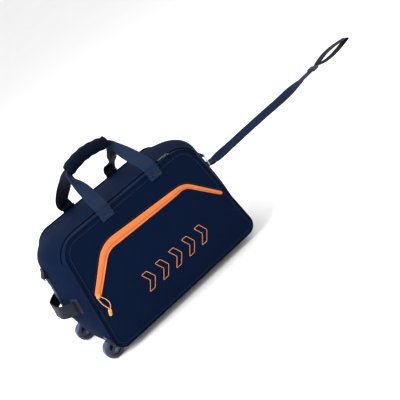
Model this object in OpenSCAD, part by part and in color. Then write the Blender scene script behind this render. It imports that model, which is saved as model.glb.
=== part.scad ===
// Rolling duffel bag: soft fabric body on two wheels, with carry handles, a front pocket and a pull strap.
// Millimetres. The bag stands on the floor (z = 0), its front faces -Y and the pull strap leaves at +X.

/* [Bag] */
// Length of the front face at the base
len_base = 508; // [500:1:520]
// Length of the front face at the top
len_top = 432; // [425:1:440]
// Height of the fabric body
bag_h = 306; // [300:1:312]
// Depth between the two face seams at the base
depth_base = 257; // [250:1:262]
// Depth between the two face seams at the top
depth_top = 190; // [184:1:196]
// Height of the fabric body above the floor
ground_gap = 21.5; // [20:0.5:23]
// Radius of the top corners of the faces
top_r = 52; // [45:1:58]
// Radius of the base corners of the faces
base_r = 28; // [24:1:32]
// How far the end panels swell outwards
end_swell = 42; // [36:1:44]
// How far the front and back faces swell outwards
face_swell = 8; // [5:1:10]
// How far the pocket swells in front of the front face
pouch_swell = 14; // [12:1:16]
// Thickness of a padded fabric panel
fabric_t = 3; // [2.5:0.1:3.4]

/* [Wheels] */
// Diameter over the tyre
wheel_d = 54; // [50:1:56]
// Width of the tyre
wheel_w = 22; // [18:1:24]
// Distance between the middles of the two wheels
wheel_spacing = 190; // [184:1:196]
// Distance from the middle of the bag to the axles
axle_x = 256; // [254:1:258]
// Diameter of an axle
axle_d = 6; // [5:0.5:7]

/* [Handles] */
// Width of the carry handle webbing
webbing_w = 38; // [34:1:40]
// Height of the middle of the wrapped grip
grip_z = 455; // [450:1:460]
// Length of the padded grip wrap
grip_len = 125; // [115:1:130]
// How far the end grab handle reaches out from the middle of the bag
grab_out = 300; // [297:1:303]

/* [Pull strap] */
// Width of the pull strap webbing
strap_w = 25; // [20:0.5:25.5]

/* [Main zip] */
// Width of the whole zip, both tapes together
zip_w = 29; // [26:1:30]
// Half of the length of zip that opens
mouth_half = 150; // [140:1:150]
// Place of the fold line that the mouth flap bends at, behind the middle
fold_y = 40; // [30:1:50]

/* [Hidden] */

fit_gap = 0.3;
seam_gap = 0.25;
base_z = ground_gap;
top_z = base_z + bag_h;
mid_z = base_z + bag_h / 2;
// the pocket makes the front deeper than the back, so the body sits behind the middle of the frame
body_y = 6.5;

fabric_c = [0.06, 0.09, 0.17];
webbing_c = [0.08, 0.12, 0.22];
wrap_c = [0.03, 0.04, 0.07];
orange_c = [1, 0.5, 0.08];
plastic_c = [0.1, 0.12, 0.17];
rim_c = [0.4, 0.43, 0.5];
metal_c = [0.75, 0.75, 0.78];
black_c = [0.05, 0.05, 0.06];

// ---- shape of the bag ----

function mix(a, b, t) = a + (b - a) * t;
function unit(v) = v / norm(v);
function rise(z) = (z - base_z) / bag_h;
function half_depth(z) = mix(depth_base, depth_top, rise(z)) / 2;
function half_len(z) = mix(len_base, len_top, rise(z)) / 2;

// points of the arc of radius r that rounds the corner v between its neighbours a and b
function corner_arc(a, v, b, r, n) =
    let (u = unit(a - v), w = unit(b - v), half = acos(u * w) / 2)
    let (c = v + unit(u + w) * r / sin(half), s = v + u * r / tan(half) - c, e = v + w * r / tan(half) - c)
    let (a0 = atan2(s.y, s.x), turn = (atan2(e.y, e.x) - a0 + 540) % 360 - 180)
    [for (i = [0:n]) c + r * [cos(a0 + turn * i / n), sin(a0 + turn * i / n)]];

corner_bl = [-len_base / 2, base_z];
corner_tl = [-len_top / 2, top_z];
corner_tr = [len_top / 2, top_z];
corner_br = [len_base / 2, base_z];

arc_tl = corner_arc(corner_bl, corner_tl, corner_tr, top_r, 7);
arc_tr = corner_arc(corner_tl, corner_tr, corner_br, top_r, 7);
arc_br = corner_arc(corner_tr, corner_br, corner_bl, base_r, 4);
arc_bl = corner_arc(corner_br, corner_bl, corner_tl, base_r, 4);

function last(list) = list[len(list) - 1];
function between(a, b, n) = [for (i = [1:n - 1]) mix(a, b, i / n)];

mouth_cols = [for (i = [0:6]) [mix(-mouth_half, mouth_half, i / 6), top_z]];
top_run = concat(arc_tl, mouth_cols, arc_tr);
right_run = between(last(arc_tr), arc_br[0], 8);
bottom_run = concat(arc_br, between(last(arc_br), arc_bl[0], 8), arc_bl);
left_run = between(last(arc_bl), arc_tl[0], 8);
outline = concat(top_run, right_run, bottom_run, left_run);

first_right = len(top_run) - 1;
first_bottom = first_right + len(right_run) + 1;
first_left = first_bottom + len(bottom_run) - 1;
first_top = len(outline);

function at(i) = outline[i % len(outline)];
function out(i) =
    let (d = at(i + 1) - at(i + len(outline) - 1))
    unit([-d.y, d.x]);

// swelling of the band between the faces: most on the ends, little on the top, none on the base
top_swell = 5;
swell_rise = 150;
function swell(i) =
    let (n = out(i), z = at(i).y)
    top_swell * pow(max(n.y, 0), 2) + end_swell * pow(n.x, 2) * sin(90 * min(1, max(0, (z - base_z) / swell_rise)));

function band(i, y, lift) =
    let (p = at(i), n = out(i), v = (y - body_y) / half_depth(p.y))
    let (q = p + n * (swell(i) * cos(90 * min(1, abs(v))) - lift))
    [q.x, y, q.y];

function seam_front(i) = body_y - half_depth(at(i).y);
function seam_back(i) = body_y + half_depth(at(i).y);

// swelling of a face, none at its edges
function crown(x, z) =
    let (u = min(1, abs(x) / half_len(z)), v = min(1, abs(z - mid_z) / (bag_h / 2)))
    (1 - pow(u, 3)) * (1 - pow(v, 3));
function front_y(x, z) = body_y - half_depth(z) - face_swell * crown(x, z);
function back_y(x, z) = body_y + half_depth(z) + face_swell * crown(x, z);

// outer place of the end panels at the middle of the bag's depth
end_profile = [for (i = [first_bottom:-1:first_right]) let (p = band(i, body_y, 0)) [p.z, p.x]];
function end_x(z) = lookup(z, end_profile);

upper_edge = concat([last(arc_bl)], left_run, arc_tl, arc_tr, right_run, [arc_br[0]]);
lower_edge = concat([for (k = [4:-1:0]) arc_bl[k]], [for (k = [4:-1:0]) arc_br[k]]);
face_half = 249.8;
face_cols = [for (i = [-12:12]) face_half * sin(7.5 * i)];

// ---- pocket zip route ----

pocket_start = [-215.6, 172.6];
pocket_corner_l = [-126, 260];
pocket_corner_r = [144, 248];
pocket_end = [223, 161];
pocket_arc_l = corner_arc(pocket_start, pocket_corner_l, pocket_corner_r, 69, 7);
pocket_arc_r = corner_arc(pocket_corner_l, pocket_corner_r, pocket_end, 48, 6);
pocket_route = concat([pocket_start], between(pocket_start, pocket_arc_l[0], 4), pocket_arc_l,
    between(last(pocket_arc_l), pocket_arc_r[0], 6), pocket_arc_r,
    between(last(pocket_arc_r), pocket_end, 3), [pocket_end]);
flap_width = [[-207, 16], [-140, 19], [-90, 23], [100, 17], [140, 12], [223, 9]];

function route_side(k) =
    let (n = len(pocket_route), d = pocket_route[min(k + 1, n - 1)] - pocket_route[max(k - 1, 0)])
    unit([-d.y, d.x]);
function flap_edge(k, s) = pocket_route[k] + route_side(k) * s * lookup(pocket_route[k].x, flap_width) / 2;
flap_low = [for (k = [0:len(pocket_route) - 1]) flap_edge(k, -1)];

// ---- general solids ----

// closed solid between two grids of points; rows run to the left of the columns seen from outside
module slab(outer, inner) {
    rows = len(outer);
    cols = len(outer[0]);
    half = rows * cols;
    function id(i, j) = i * cols + j;
    points = concat([for (r = outer) each r], [for (r = inner) each r]);
    skin = [for (i = [0:rows - 2], j = [0:cols - 2])
        each [[id(i, j), id(i, j + 1), id(i + 1, j + 1)], [id(i, j), id(i + 1, j + 1), id(i + 1, j)]]];
    lining = [for (f = skin) [f[2] + half, f[1] + half, f[0] + half]];
    rim = concat([for (j = [0:cols - 1]) id(0, j)], [for (i = [1:rows - 1]) id(i, cols - 1)],
        [for (j = [cols - 2:-1:0]) id(rows - 1, j)], [for (i = [rows - 2:-1:1]) id(i, 0)]);
    edge = [for (k = [0:len(rim) - 1])
        let (a = rim[k], b = rim[(k + 1) % len(rim)])
        each [[b, a, a + half], [b, a + half, b + half]]];
    polyhedron(points, concat(skin, lining, edge));
}

// closed tube through rings of points, with flat ends
module rings(list) {
    n = len(list[0]);
    m = len(list);
    side = [for (i = [0:m - 2], j = [0:n - 1])
        let (a = i * n + j, b = i * n + (j + 1) % n)
        each [[a, b + n, b], [a, a + n, b + n]]];
    caps = [[for (j = [0:n - 1]) j], [for (j = [n - 1:-1:0]) (m - 1) * n + j]];
    polyhedron([for (r = list) each r], concat(side, caps));
}

// flat band along a route: route points, the direction of its width at each, its width and thickness
module ribbon(route, across, widths, t) {
    n = len(route);
    rings([for (k = [0:n - 1])
        let (d = unit(route[min(k + 1, n - 1)] - route[max(k - 1, 0)]))
        let (a = unit(across[k] - d * (across[k] * d)) * widths[k] / 2, h = cross(d, unit(a)) * t / 2)
        [route[k] - a - h, route[k] + a - h, route[k] + a + h, route[k] - a + h]]);
}

function same(value, list) = [for (p = list) value];

// points along a smooth curve through hand-placed points, n to a span
function span(a, b, c, e, t) =
    (2 * b + (c - a) * t + (2 * a - 5 * b + 4 * c - e) * t * t + (3 * b - a - 3 * c + e) * t * t * t) / 2;
function smooth(p, n) = [for (k = [0:(len(p) - 1) * n])
    let (i = min(floor(k / n), len(p) - 2))
    span(p[max(i - 1, 0)], p[i], p[i + 1], p[min(i + 2, len(p) - 1)], k / n - i)];
function smooth_loop(p, n) = [for (k = [0:len(p) * n - 1])
    let (i = floor(k / n), m = len(p))
    span(p[(i + m - 1) % m], p[i], p[(i + 1) % m], p[(i + 2) % m], k / n - i)];

// part of the band between rows i0 and i1, over the depth that lo and hi give for each row
module band_panel(i0, i1, lo, hi, lift = 0, t = fabric_t, cols = 10) {
    function grid(d) = [for (i = [i0:i1]) [for (j = [0:cols]) band(i, mix(lo(i), hi(i), j / cols), d)]];
    slab(grid(lift), grid(lift + t));
}

// part of a face between two edges that depend on x
module face_panel(xs, lo, hi, outer_y, inner_y, rows = 8) {
    function grid(f) = [for (x = xs) [for (k = [0:rows])
        let (z = mix(lo(x), hi(x), k / rows)) [x, f(x, z), z]]];
    slab(grid(outer_y), grid(inner_y));
}

panel_edge = fabric_t + seam_gap;
band_lo = function (i) seam_front(i) + panel_edge;
band_hi = function (i) seam_back(i) - panel_edge;

// ---- fabric body ----

face_lo = function (x) lookup(x, lower_edge);
face_hi = function (x) lookup(x, upper_edge);

module front_panel() {
    color(fabric_c)
        face_panel(face_cols, face_lo, face_hi,
            function (x, z) front_y(x, z), function (x, z) front_y(x, z) + fabric_t);
}

module back_panel() {
    color(fabric_c)
        face_panel([for (x = face_cols) -x], face_lo, face_hi,
            function (x, z) back_y(x, z), function (x, z) back_y(x, z) - fabric_t);
}

// room that the two wheel housings take out of the fabric
module housing_room() {
    for (s = [-1, 1])
        translate([-axle_x, body_y + s * wheel_spacing / 2, wheel_d / 2])
            rotate([90, 0, 0])
                cylinder(r = housing_r + 0.5, h = housing_w + 1, center = true, $fn = 48);
}

module left_end_panel() {
    color(fabric_c)
        difference() {
            band_panel(first_left, first_top, band_lo, band_hi);
            housing_room();
        }
}

module right_end_panel() {
    color(fabric_c) band_panel(first_right, first_bottom, band_lo, band_hi);
}

module bottom_panel() {
    color(fabric_c)
        difference() {
            band_panel(first_bottom, first_left, band_lo, band_hi);
            housing_room();
        }
}

zip_back = function (i) seam_front(i) + panel_edge + zip_w;
mouth_first = len(arc_tl);
mouth_last = mouth_first + len(mouth_cols) - 1;

module top_panel() {
    color(fabric_c) {
        band_panel(0, mouth_first, zip_back, band_hi);
        band_panel(mouth_first, mouth_last, function (i) fold_y + seam_gap, band_hi);
        band_panel(mouth_last, first_right, zip_back, band_hi);
    }
}

module mouth_flap() {
    inset = (mouth_half - fit_gap) / mouth_half;
    color(fabric_c)
        scale([inset, 1, 1])
            band_panel(mouth_first, mouth_last, zip_back, function (i) fold_y - seam_gap);
}

// cord of piping round one face, just outside the seam
module piping(y_of) {
    r = 2;
    n = len(outline);
    sides = 8;
    function ring(i) =
        let (c = at(i) + out(i) * (r + fit_gap))
        [for (k = [0:sides - 1])
            let (w = c + out(i) * r * cos(360 * k / sides))
            [w.x, y_of(i) + r * sin(360 * k / sides), w.y]];
    points = [for (i = [0:n - 1]) each ring(i)];
    faces = [for (i = [0:n - 1], k = [0:sides - 1])
        let (a = i * sides + k, b = i * sides + (k + 1) % sides)
        let (c = (a + sides) % (n * sides), d = (b + sides) % (n * sides))
        each [[a, b, d], [a, d, c]]];
    polyhedron(points, faces);
}

module front_piping() {
    color(fabric_c) piping(function (i) seam_front(i) + 1.5);
}

module back_piping() {
    color(fabric_c) piping(function (i) seam_back(i) - 1.5);
}

board_t = 2.5;
board_z = base_z + fabric_t + 0.2;

module base_board() {
    half_w = depth_base / 2 - 16;
    color(black_c)
        translate([0, body_y, board_z])
            linear_extrude(board_t)
                hull()
                    for (x = [-196, 206], y = [-1, 1])
                        translate([x, y * (half_w - 12)])
                            circle(12, $fn = 40);
}

module end_stiffener() {
    foot = [-241.5, 70];
    head = [-226.5, 190];
    lean = atan2(head.x - foot.x, head.y - foot.y);
    color(black_c)
        translate([foot.x, body_y, foot.y])
            rotate([0, lean, 0])
                translate([0, -84, 0])
                    cube([2, 168, norm(head - foot)]);
}

// ---- front pocket ----

pocket_cols = [for (i = [-12:12]) 238 * sin(7.5 * i)];
function pocket_hi(x) =
    x < flap_low[0].x ? lookup(x, concat([[-250, 60], [-240, 130]], [flap_low[0]]))
    : x > last(flap_low).x ? lookup(x, concat([last(flap_low)], [[240, 120], [250, 60]]))
    : lookup(x, flap_low) - 1;
function pocket_lo(x) = lookup(x, lower_edge) + 2;
function pouch(x, z) =
    let (u = min(1, abs(x) / 238), lo = pocket_lo(x), v = min(1, max(0, (z - lo) / (pocket_hi(x) - lo))))
    0.4 + pouch_swell * (1 - pow(u, 4)) * sin(180 * v);
pouch_t = 2.4;

module pocket_panel() {
    color(fabric_c)
        face_panel(pocket_cols, function (x) pocket_lo(x), function (x) pocket_hi(x),
            function (x, z) front_y(x, z) - pouch(x, z) - pouch_t,
            function (x, z) front_y(x, z) - pouch(x, z));
}

// band along the pocket zip, standing off the front face
module zip_band(width_share, off, t, wide = 0) {
    last_k = len(pocket_route) - 1;
    function edge(k, s) =
        pocket_route[k] + route_side(k) * s * (wide > 0 ? wide : width_share * lookup(pocket_route[k].x, flap_width)) / 2;
    function grid(d) = [for (k = [0:last_k]) [for (s = [-1, 1])
        let (p = edge(k, s)) [p.x, front_y(p.x, p.y) - d, p.y]]];
    slab(grid(off + t), grid(off));
}

module pocket_zip_flap() {
    color(orange_c) zip_band(1, 0.4, 1.4);
}

module pocket_zip_teeth() {
    color(orange_c) zip_band(0, 2, 1.6, 4);
}

slider_at = pocket_start + unit(pocket_arc_l[0] - pocket_start) * 3;
slider_y = front_y(slider_at.x, slider_at.y) - 4.3;
slider_turn = atan2(pocket_arc_l[0].y - pocket_start.y, pocket_arc_l[0].x - pocket_start.x);

face_lean = atan((depth_base - depth_top) / 2 / bag_h);

module pocket_slider() {
    color(orange_c)
        translate([slider_at.x, slider_y, slider_at.y])
            rotate([-face_lean, -slider_turn, 0]) {
                translate([-6, -1.6, -4.5])
                    cube([12, 1.6, 9]);
                translate([-4, -5.4, -1.2])
                    difference() {
                        cube([8, 3.9, 2.4]);
                        translate([2, 1.2, -1])
                            cube([4, 2.6, 5]);
                    }
            }
}

// the puller is a thin cord loop through the slider's bridge, moulded into a small tab
cord_r = 0.9;
puller_out = 33;
puller_lean = 40;
tab_foot = [-14.8, 0, -55.1];
puller_eye = -2.9;
thread_way = [-sin(slider_turn), 0, cos(slider_turn)];
puller_loop = [for (p = [[0, 0], [-1.8, 1.9], [-4.4, 2.1], [-6.4, -0.8], [-7.2, -5], [-8, -12], [-8.2, -20],
    [-6.8, -29.5], [-4.8, -35.5], [-4.2, -39.7], [-7.8, -44], [-8.6, -45.7], [-8, -47], [-6.6, -47.4],
    [-5.1, -46.3], [-1.5, -42], [2.6, -39.6], [6.4, -36.4], [9.2, -31.8], [10.2, -26], [9.4, -19.4],
    [7.4, -13.2], [5, -8.2], [3.4, -4.8], [1.8, -1.9]]) [p.x, 0, p.y]];

module puller_place() {
    translate([slider_at.x, slider_y + puller_eye, slider_at.y])
        rotate(a = puller_out, v = thread_way)
            children();
}

module pocket_puller_cord() {
    route = smooth_loop(puller_loop, 2);
    turns = len(route);
    sides = 8;
    n = turns * sides;
    points = [for (k = [0:turns - 1])
        let (d = unit(route[(k + 1) % turns] - route[(k + turns - 1) % turns]), u = [0, 1, 0], w = cross(d, u))
        for (s = [0:sides - 1]) route[k] + cord_r * (u * cos(360 * s / sides) + w * sin(360 * s / sides))];
    faces = [for (k = [0:turns - 1], s = [0:sides - 1])
        let (a = k * sides + s, b = k * sides + (s + 1) % sides)
        each [[a, b, (b + sides) % n], [a, (b + sides) % n, (a + sides) % n]]];
    color(orange_c) puller_place() polyhedron(points, faces);
}

module pocket_puller_tab() {
    tab_t = 4.2;
    color(orange_c)
        puller_place()
            translate(tab_foot)
                rotate([90, puller_lean, 0])
                    translate([0, 0, -tab_t / 2])
                        linear_extrude(tab_t)
                            difference() {
                                hull() {
                                    translate([0, 3]) circle(3.4, $fn = 32);
                                    translate([0, 14]) circle(4.4, $fn = 32);
                                }
                                translate([-2.9, 9.4]) square([5.8, 12]);
                            }
}

// ---- main zip ----

zip_tape_t = 1.2;
teeth_w = 3.2;
chain_off = zip_w / 2;
tape_lift = 0.9;

module zip_strip(i0, i1, lo, hi, lift, t) {
    band_panel(i0, i1, function (i) band_lo(i) + lo, function (i) band_lo(i) + hi, lift, t, 2);
}

module main_zip_front_tape() {
    color(fabric_c) zip_strip(mouth_first, mouth_last, seam_gap, chain_off - 0.2, tape_lift, zip_tape_t);
}

module main_zip_rear_tape() {
    inset = (mouth_half - fit_gap) / mouth_half;
    color(fabric_c)
        scale([inset, 1, 1])
            zip_strip(mouth_first, mouth_last, chain_off + 0.2, zip_w - seam_gap, tape_lift, zip_tape_t);
}

module main_zip_front_teeth() {
    color(black_c)
        zip_strip(mouth_first, mouth_last, chain_off - 0.2 - teeth_w, chain_off - 0.2, tape_lift - 1.9, 1.8);
}

module main_zip_rear_teeth() {
    inset = (mouth_half - fit_gap) / mouth_half;
    color(black_c)
        scale([inset, 1, 1])
            zip_strip(mouth_first, mouth_last, chain_off + 0.2, chain_off + 0.2 + teeth_w, tape_lift - 1.9, 1.8);
}

module main_zip_end_tapes() {
    color(fabric_c) {
        zip_strip(0, mouth_first, seam_gap, zip_w - seam_gap, tape_lift, zip_tape_t);
        zip_strip(mouth_last, first_right, seam_gap, zip_w - seam_gap, tape_lift, zip_tape_t);
    }
}

slider_x = mouth_half + 8;
chain_y = body_y - depth_top / 2 + panel_edge + chain_off;
main_slider_z = top_z + 2.9;

tab_pin_z = main_slider_z + 4.6;
tab_pin_d = 1.2;

module main_slider() {
    color(metal_c)
        translate([slider_x, chain_y, main_slider_z]) {
            linear_extrude(1.8)
                hull() {
                    translate([5, 0]) circle(4.5, $fn = 32);
                    translate([-5, 0]) circle(3.5, $fn = 32);
                }
            for (s = [-1, 1])
                translate([1, s * 2.6 - 0.6, 1.5])
                    cube([3, 1.2, 4]);
            translate([2.5, 0, tab_pin_z - main_slider_z])
                rotate([90, 0, 0])
                    cylinder(d = tab_pin_d, h = 6.4, center = true, $fn = 24);
        }
}

module main_pull_tab() {
    tab_t = 2.4;
    color(metal_c)
        translate([slider_x + 2.5, chain_y, tab_pin_z])
            difference() {
                translate([0, 0, -tab_t / 2])
                    linear_extrude(tab_t)
                        hull() {
                            circle(1.7, $fn = 32);
                            translate([-26, 0]) circle(3.4, $fn = 32);
                        }
                rotate([90, 0, 0])
                    cylinder(d = tab_pin_d + 0.1, h = 10, center = true, $fn = 24);
                translate([-26, 0, -2])
                    cylinder(d = 3, h = 4, $fn = 24);
            }
}

// ---- carry handles ----

handle_t = 2.4;
leg_foot_z = top_z + 8.5;
leg_head_z = grip_z - 18;
leg_seam = depth_top / 2;
front_leg_x = [-70, 96];
back_leg_x = [-96, 64];

// a leg stands up from its seam, then turns and narrows into the end of the grip
module leg(points, side, turning) {
    route = smooth(points, 3);
    n = len(route) - 1;
    head_w = 12;
    ribbon(route, [for (k = [0:n]) mix([side, 0, 0], [0, 0.2, 1], pow(k / n, turning))],
        [for (k = [0:n]) mix(webbing_w, head_w, pow(k / n, 4))], handle_t);
}

front_seam_y = body_y - leg_seam;
back_seam_y = body_y + leg_seam;
leg_head_x = 71;

module front_handle_left_leg() {
    x = front_leg_x[0];
    color(webbing_c)
        leg([[x, front_seam_y, leg_foot_z], [x, front_seam_y, leg_foot_z + 8], [x, front_seam_y + 11, 357],
            [x + 0.5, front_seam_y + 28, 377], [x + 1, front_seam_y + 46, 396], [x + 1, front_seam_y + 64, 412],
            [x - 0.5, front_seam_y + 79, 427], [-leg_head_x, body_y - 6, leg_head_z + 3]], -1, 2.5);
}

module front_handle_right_leg() {
    x = front_leg_x[1];
    color(webbing_c)
        leg([[x, front_seam_y, leg_foot_z], [x, front_seam_y, leg_foot_z + 8], [x - 2, front_seam_y + 10, 357],
            [x - 7, front_seam_y + 24, 373], [x - 15, front_seam_y + 45, 395], [x - 20, front_seam_y + 63, 411],
            [x - 23, front_seam_y + 79, 427], [leg_head_x, body_y - 6, leg_head_z + 3]], 1, 1);
}

module back_handle_left_leg() {
    x = back_leg_x[0];
    color(webbing_c)
        leg([[x, back_seam_y, leg_foot_z], [x, back_seam_y, leg_foot_z + 8], [x - 4, back_seam_y - 4, 353],
            [x - 4, back_seam_y - 21, 369], [x + 3, back_seam_y - 36, 385], [x + 12, back_seam_y - 48, 399],
            [x + 20, back_seam_y - 60, 412], [x + 24, back_seam_y - 73, 426],
            [-leg_head_x, body_y + 6, leg_head_z + 3]], -1, 1.5);
}

module back_handle_right_leg() {
    x = back_leg_x[1];
    color(webbing_c)
        leg([[x, back_seam_y, leg_foot_z], [x, back_seam_y, leg_foot_z + 9], [x + 7, back_seam_y - 4, 355],
            [x + 16, back_seam_y - 15, 365], [x + 18, back_seam_y - 30, 377], [x + 13, back_seam_y - 43, 393],
            [x + 8, back_seam_y - 55, 408], [x + 7, back_seam_y - 72, 426],
            [leg_head_x, body_y + 6, leg_head_z + 3]], 1, 1.5);
}

// the part of each handle that runs through the grip, folded double
module handle_top(y) {
    route = [for (k = [0:6]) [mix(-66, 66, k / 6), y, leg_head_z + 3 + 12 * sin(30 * k)]];
    ribbon(route, same([0, 0.3, 1], route), same(11, route), handle_t * 2);
}

module front_handle_top() {
    color(webbing_c) handle_top(body_y - 6);
}

module back_handle_top() {
    color(webbing_c) handle_top(body_y + 6);
}

wrap_rx = 17;
wrap_rz = 13.5;
wrap_t = 3.5;

function wrap_ring(x, grow, from, to, n) =
    let (z = leg_head_z + 3 + 12 * sin(90 + 90 * x / 66))
    [for (k = [0:n]) let (a = mix(from, to, k / n))
        [x, body_y + (wrap_rx + grow) * cos(a), z + (wrap_rz + grow) * sin(a)]];

module wrap_shell(x0, x1, low, high, from, to, n) {
    xs = [for (k = [0:6]) mix(x0, x1, k / 6)];
    slab([for (x = xs) [for (p = wrap_ring(x, high, from, to, n)) p]],
        [for (x = xs) [for (p = wrap_ring(x, low, from, to, n)) p]]);
}

module grip_wrap() {
    color(wrap_c) wrap_shell(-grip_len / 2, grip_len / 2, -wrap_t, 0, 420, 75, 22);
}

flap_from = 200;
flap_to = 66;

module grip_wrap_flap() {
    color(wrap_c) wrap_shell(-grip_len / 2 + 1, grip_len / 2 + 6, 0.35, 2.6, flap_from, flap_to, 9);
}

// the sewn tail of each leg: down the face below the seam, and up round the piping to the leg
module front_anchors(legs) {
    seam = body_y - leg_seam;
    for (x = legs) {
        route = concat([for (z = [top_z - 17, top_z - 10, top_z - 4]) [x, front_y(x, z) - 1.6, z]],
            [[x, seam - 4.4, top_z + 3], [x, seam - 0.8, leg_foot_z - 3]]);
        ribbon(route, same([1, 0, 0], route), same(webbing_w, route), handle_t);
    }
}

module front_handle_anchors() {
    color(webbing_c) front_anchors(front_leg_x);
}

module back_handle_anchors() {
    color(webbing_c)
        translate([0, 2 * body_y, 0])
            mirror([0, 1, 0])
                front_anchors(back_leg_x);
}

// ---- end handle, rings and pull strap ----

grab_z = 166;
grab_half = 66;

// outer place of the left end panel off the middle of the bag's depth
function left_x(y, z) = lookup(z, [for (i = [first_left:first_top]) let (p = band(i, y, 0)) [p.z, p.x]]);

module end_grab_handle() {
    foot_y = body_y + grab_half;
    foot = left_x(foot_y, grab_z) - 1.9;
    way = [left_x(foot_y, grab_z + 19) - left_x(foot_y, grab_z - 19), 0, 38];
    route = smooth([[foot, body_y - grab_half, grab_z], [foot - 12, body_y - grab_half + 4, grab_z],
        [5 - grab_out, body_y - 32, grab_z], [1.5 - grab_out, body_y, grab_z],
        [5 - grab_out, body_y + 32, grab_z], [foot - 12, body_y + grab_half - 4, grab_z],
        [foot, body_y + grab_half, grab_z]], 3);
    color(webbing_c) ribbon(route, same(unit(way), route), same(webbing_w, route), 3);
}

ring_wire = 3.4;
ring_half_w = 15.5;
ring_top_z = 237;
ring_foot_z = 205;
ring_x = end_x((ring_top_z + ring_foot_z) / 2) + 9;
d_ring_half_w = 15;
d_ring_bar_z = 259;
d_ring_bend_z = 255;
d_ring_x = end_x(246) + 7;
tab_t = 1.8;
tab_w = 25;

// webbing loop sewn to an end panel, going round the top bar of a ring; drawn for the right end
module ring_tab(x, z, top) {
    bend = ring_wire / 2 + fit_gap + tab_t / 2;
    near = [for (h = [top, (top + z) / 2 + 2]) [end_x(h) + 1.3, body_y, h]];
    far = [for (h = [(top + z) / 2 + 5, top]) [end_x(h) + 3.6, body_y, h]];
    route = concat(near, [for (a = [180:30:390]) [x + bend * cos(a), body_y, z + bend * sin(a)]], far);
    ribbon(route, same([0, 1, 0], route), same(tab_w, route), tab_t);
}

module wire_corner(y, z) {
    translate([0, y, z])
        sphere(d = ring_wire, $fn = 24);
}

module wire_up(y, z0, z1) {
    translate([0, y, z0])
        cylinder(d = ring_wire, h = z1 - z0, $fn = 24);
}

module wire_across(half, z) {
    translate([0, 0, z])
        rotate([90, 0, 0])
            cylinder(d = ring_wire, h = 2 * half, center = true, $fn = 24);
}

// strip of webbing sewn down the left end panel, below the ring and behind the grab handle
module left_ring_webbing() {
    y0 = body_y - tab_w / 2;
    color(webbing_c)
        band_panel(first_left + 2, first_top - 2, function (i) y0, function (i) y0 + tab_w, -2.2, 1.9, 2);
}

module left_ring_tab() {
    color(webbing_c) mirror([1, 0, 0]) ring_tab(d_ring_x, d_ring_bar_z, 282);
}

module left_d_ring() {
    color(metal_c)
        translate([-d_ring_x, body_y, 0]) {
            wire_across(d_ring_half_w, d_ring_bar_z);
            for (y = [-d_ring_half_w, d_ring_half_w]) {
                wire_corner(y, d_ring_bar_z);
                wire_up(y, d_ring_bend_z, d_ring_bar_z);
            }
            intersection() {
                translate([0, 0, d_ring_bend_z])
                    rotate([0, 90, 0])
                        rotate_extrude($fn = 48)
                            translate([d_ring_half_w, 0])
                                circle(d = ring_wire, $fn = 24);
                translate([-5, -25, d_ring_bend_z - 25])
                    cube([10, 50, 25]);
            }
        }
}

module right_ring_tab() {
    color(webbing_c) ring_tab(ring_x, ring_top_z, 264);
}

module right_ring() {
    color(metal_c)
        translate([ring_x, body_y, 0]) {
            for (z = [ring_top_z, ring_foot_z])
                wire_across(ring_half_w, z);
            for (y = [-ring_half_w, ring_half_w]) {
                wire_up(y, ring_foot_z, ring_top_z);
                wire_corner(y, ring_top_z);
                wire_corner(y, ring_foot_z);
            }
        }
}

// hand-placed route of the pull strap, from its end loop to just past the tri-glide
strap_route = [[304, 6, 203], [320, 6, 203], [340, 6, 203.5], [380, 6, 204.5], [430, 6, 206.5], [480, 6, 208],
    [530, 6, 209], [580, 6, 209.5], [620, 6, 211], [655, 6, 213], [690, 6, 215.2], [706, 6, 216.2],
    [722, 6, 217.2], [738, 6, 218.2], [754, 6, 219.2], [766, 6, 220]];
// turn of the webbing about its own line at each of those points
strap_turn = [70, 40, 15, 0, 0, 0, 0, 5, 25, 60, 90, 90, 90, 90, 90, 90];
strap_t = 1.8;
strap_line = smooth(strap_route, 3);

module pull_strap() {
    turn = [for (k = [0:len(strap_line) - 1])
        lookup(k / 3, [for (i = [0:len(strap_turn) - 1]) [i, strap_turn[i]]])];
    color(webbing_c)
        ribbon(strap_line, [for (a = turn) [0, sin(a), cos(a)]], same(strap_w, strap_line), strap_t);
}

// the strap's sewn end, folded round the bottom of the ring
module strap_end_loop() {
    bend = ring_wire / 2 + fit_gap + strap_t / 2;
    arc = [for (a = [70:20:290]) [ring_x + bend * cos(a), 6, ring_foot_z + bend * sin(a)]];
    route = concat([[303.4, 6, 204.2]], arc, [[303.4, 6, 201.8]]);
    color(webbing_c) ribbon(route, same([0, 1, 0], route), same(strap_w, route), strap_t);
}

glide_at = [744, 6, 218.6];
glide_lean = 3.6;
slot_w = 26.4;

module tri_glide() {
    color(black_c)
        translate(glide_at)
            rotate([0, -glide_lean, 0])
                difference() {
                    translate([-11, -16, -3.5])
                        cube([22, 32, 7]);
                    for (s = [-1, 1])
                        translate([s * 5.2 - 3, -slot_w / 2, -5])
                            cube([6, slot_w, 10]);
                    translate([-12, -slot_w / 2, -1.7])
                        cube([24, slot_w, 3.4]);
                }
}

module hand_loop() {
    tip = [903, 6, 225];
    start = [766.3, 6, 220];
    function side(s) = [for (k = [0:8])
        let (t = k / 8) mix(start, tip, t) + [0, 0, s * (1 + 1.2 * t + 9 * sin(180 * pow(t, 0.8)))]];
    loop = concat(side(1), [tip + [3, 0, 0]], [for (k = [8:-1:0]) side(-1)[k]]);
    color(webbing_c) ribbon(loop, same([0, 1, 0], loop), same(strap_w, loop), strap_t);
}

// ---- wheels and feet ----

housing_r = 36;
housing_w = 34;
cavity_w = wheel_w + 3;
arch_clear = 3.5;
boss_r = 10;

module wheel_place(s) {
    translate([-axle_x, body_y + s * wheel_spacing / 2, wheel_d / 2])
        rotate([90, 0, 0])
            children();
}

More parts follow.
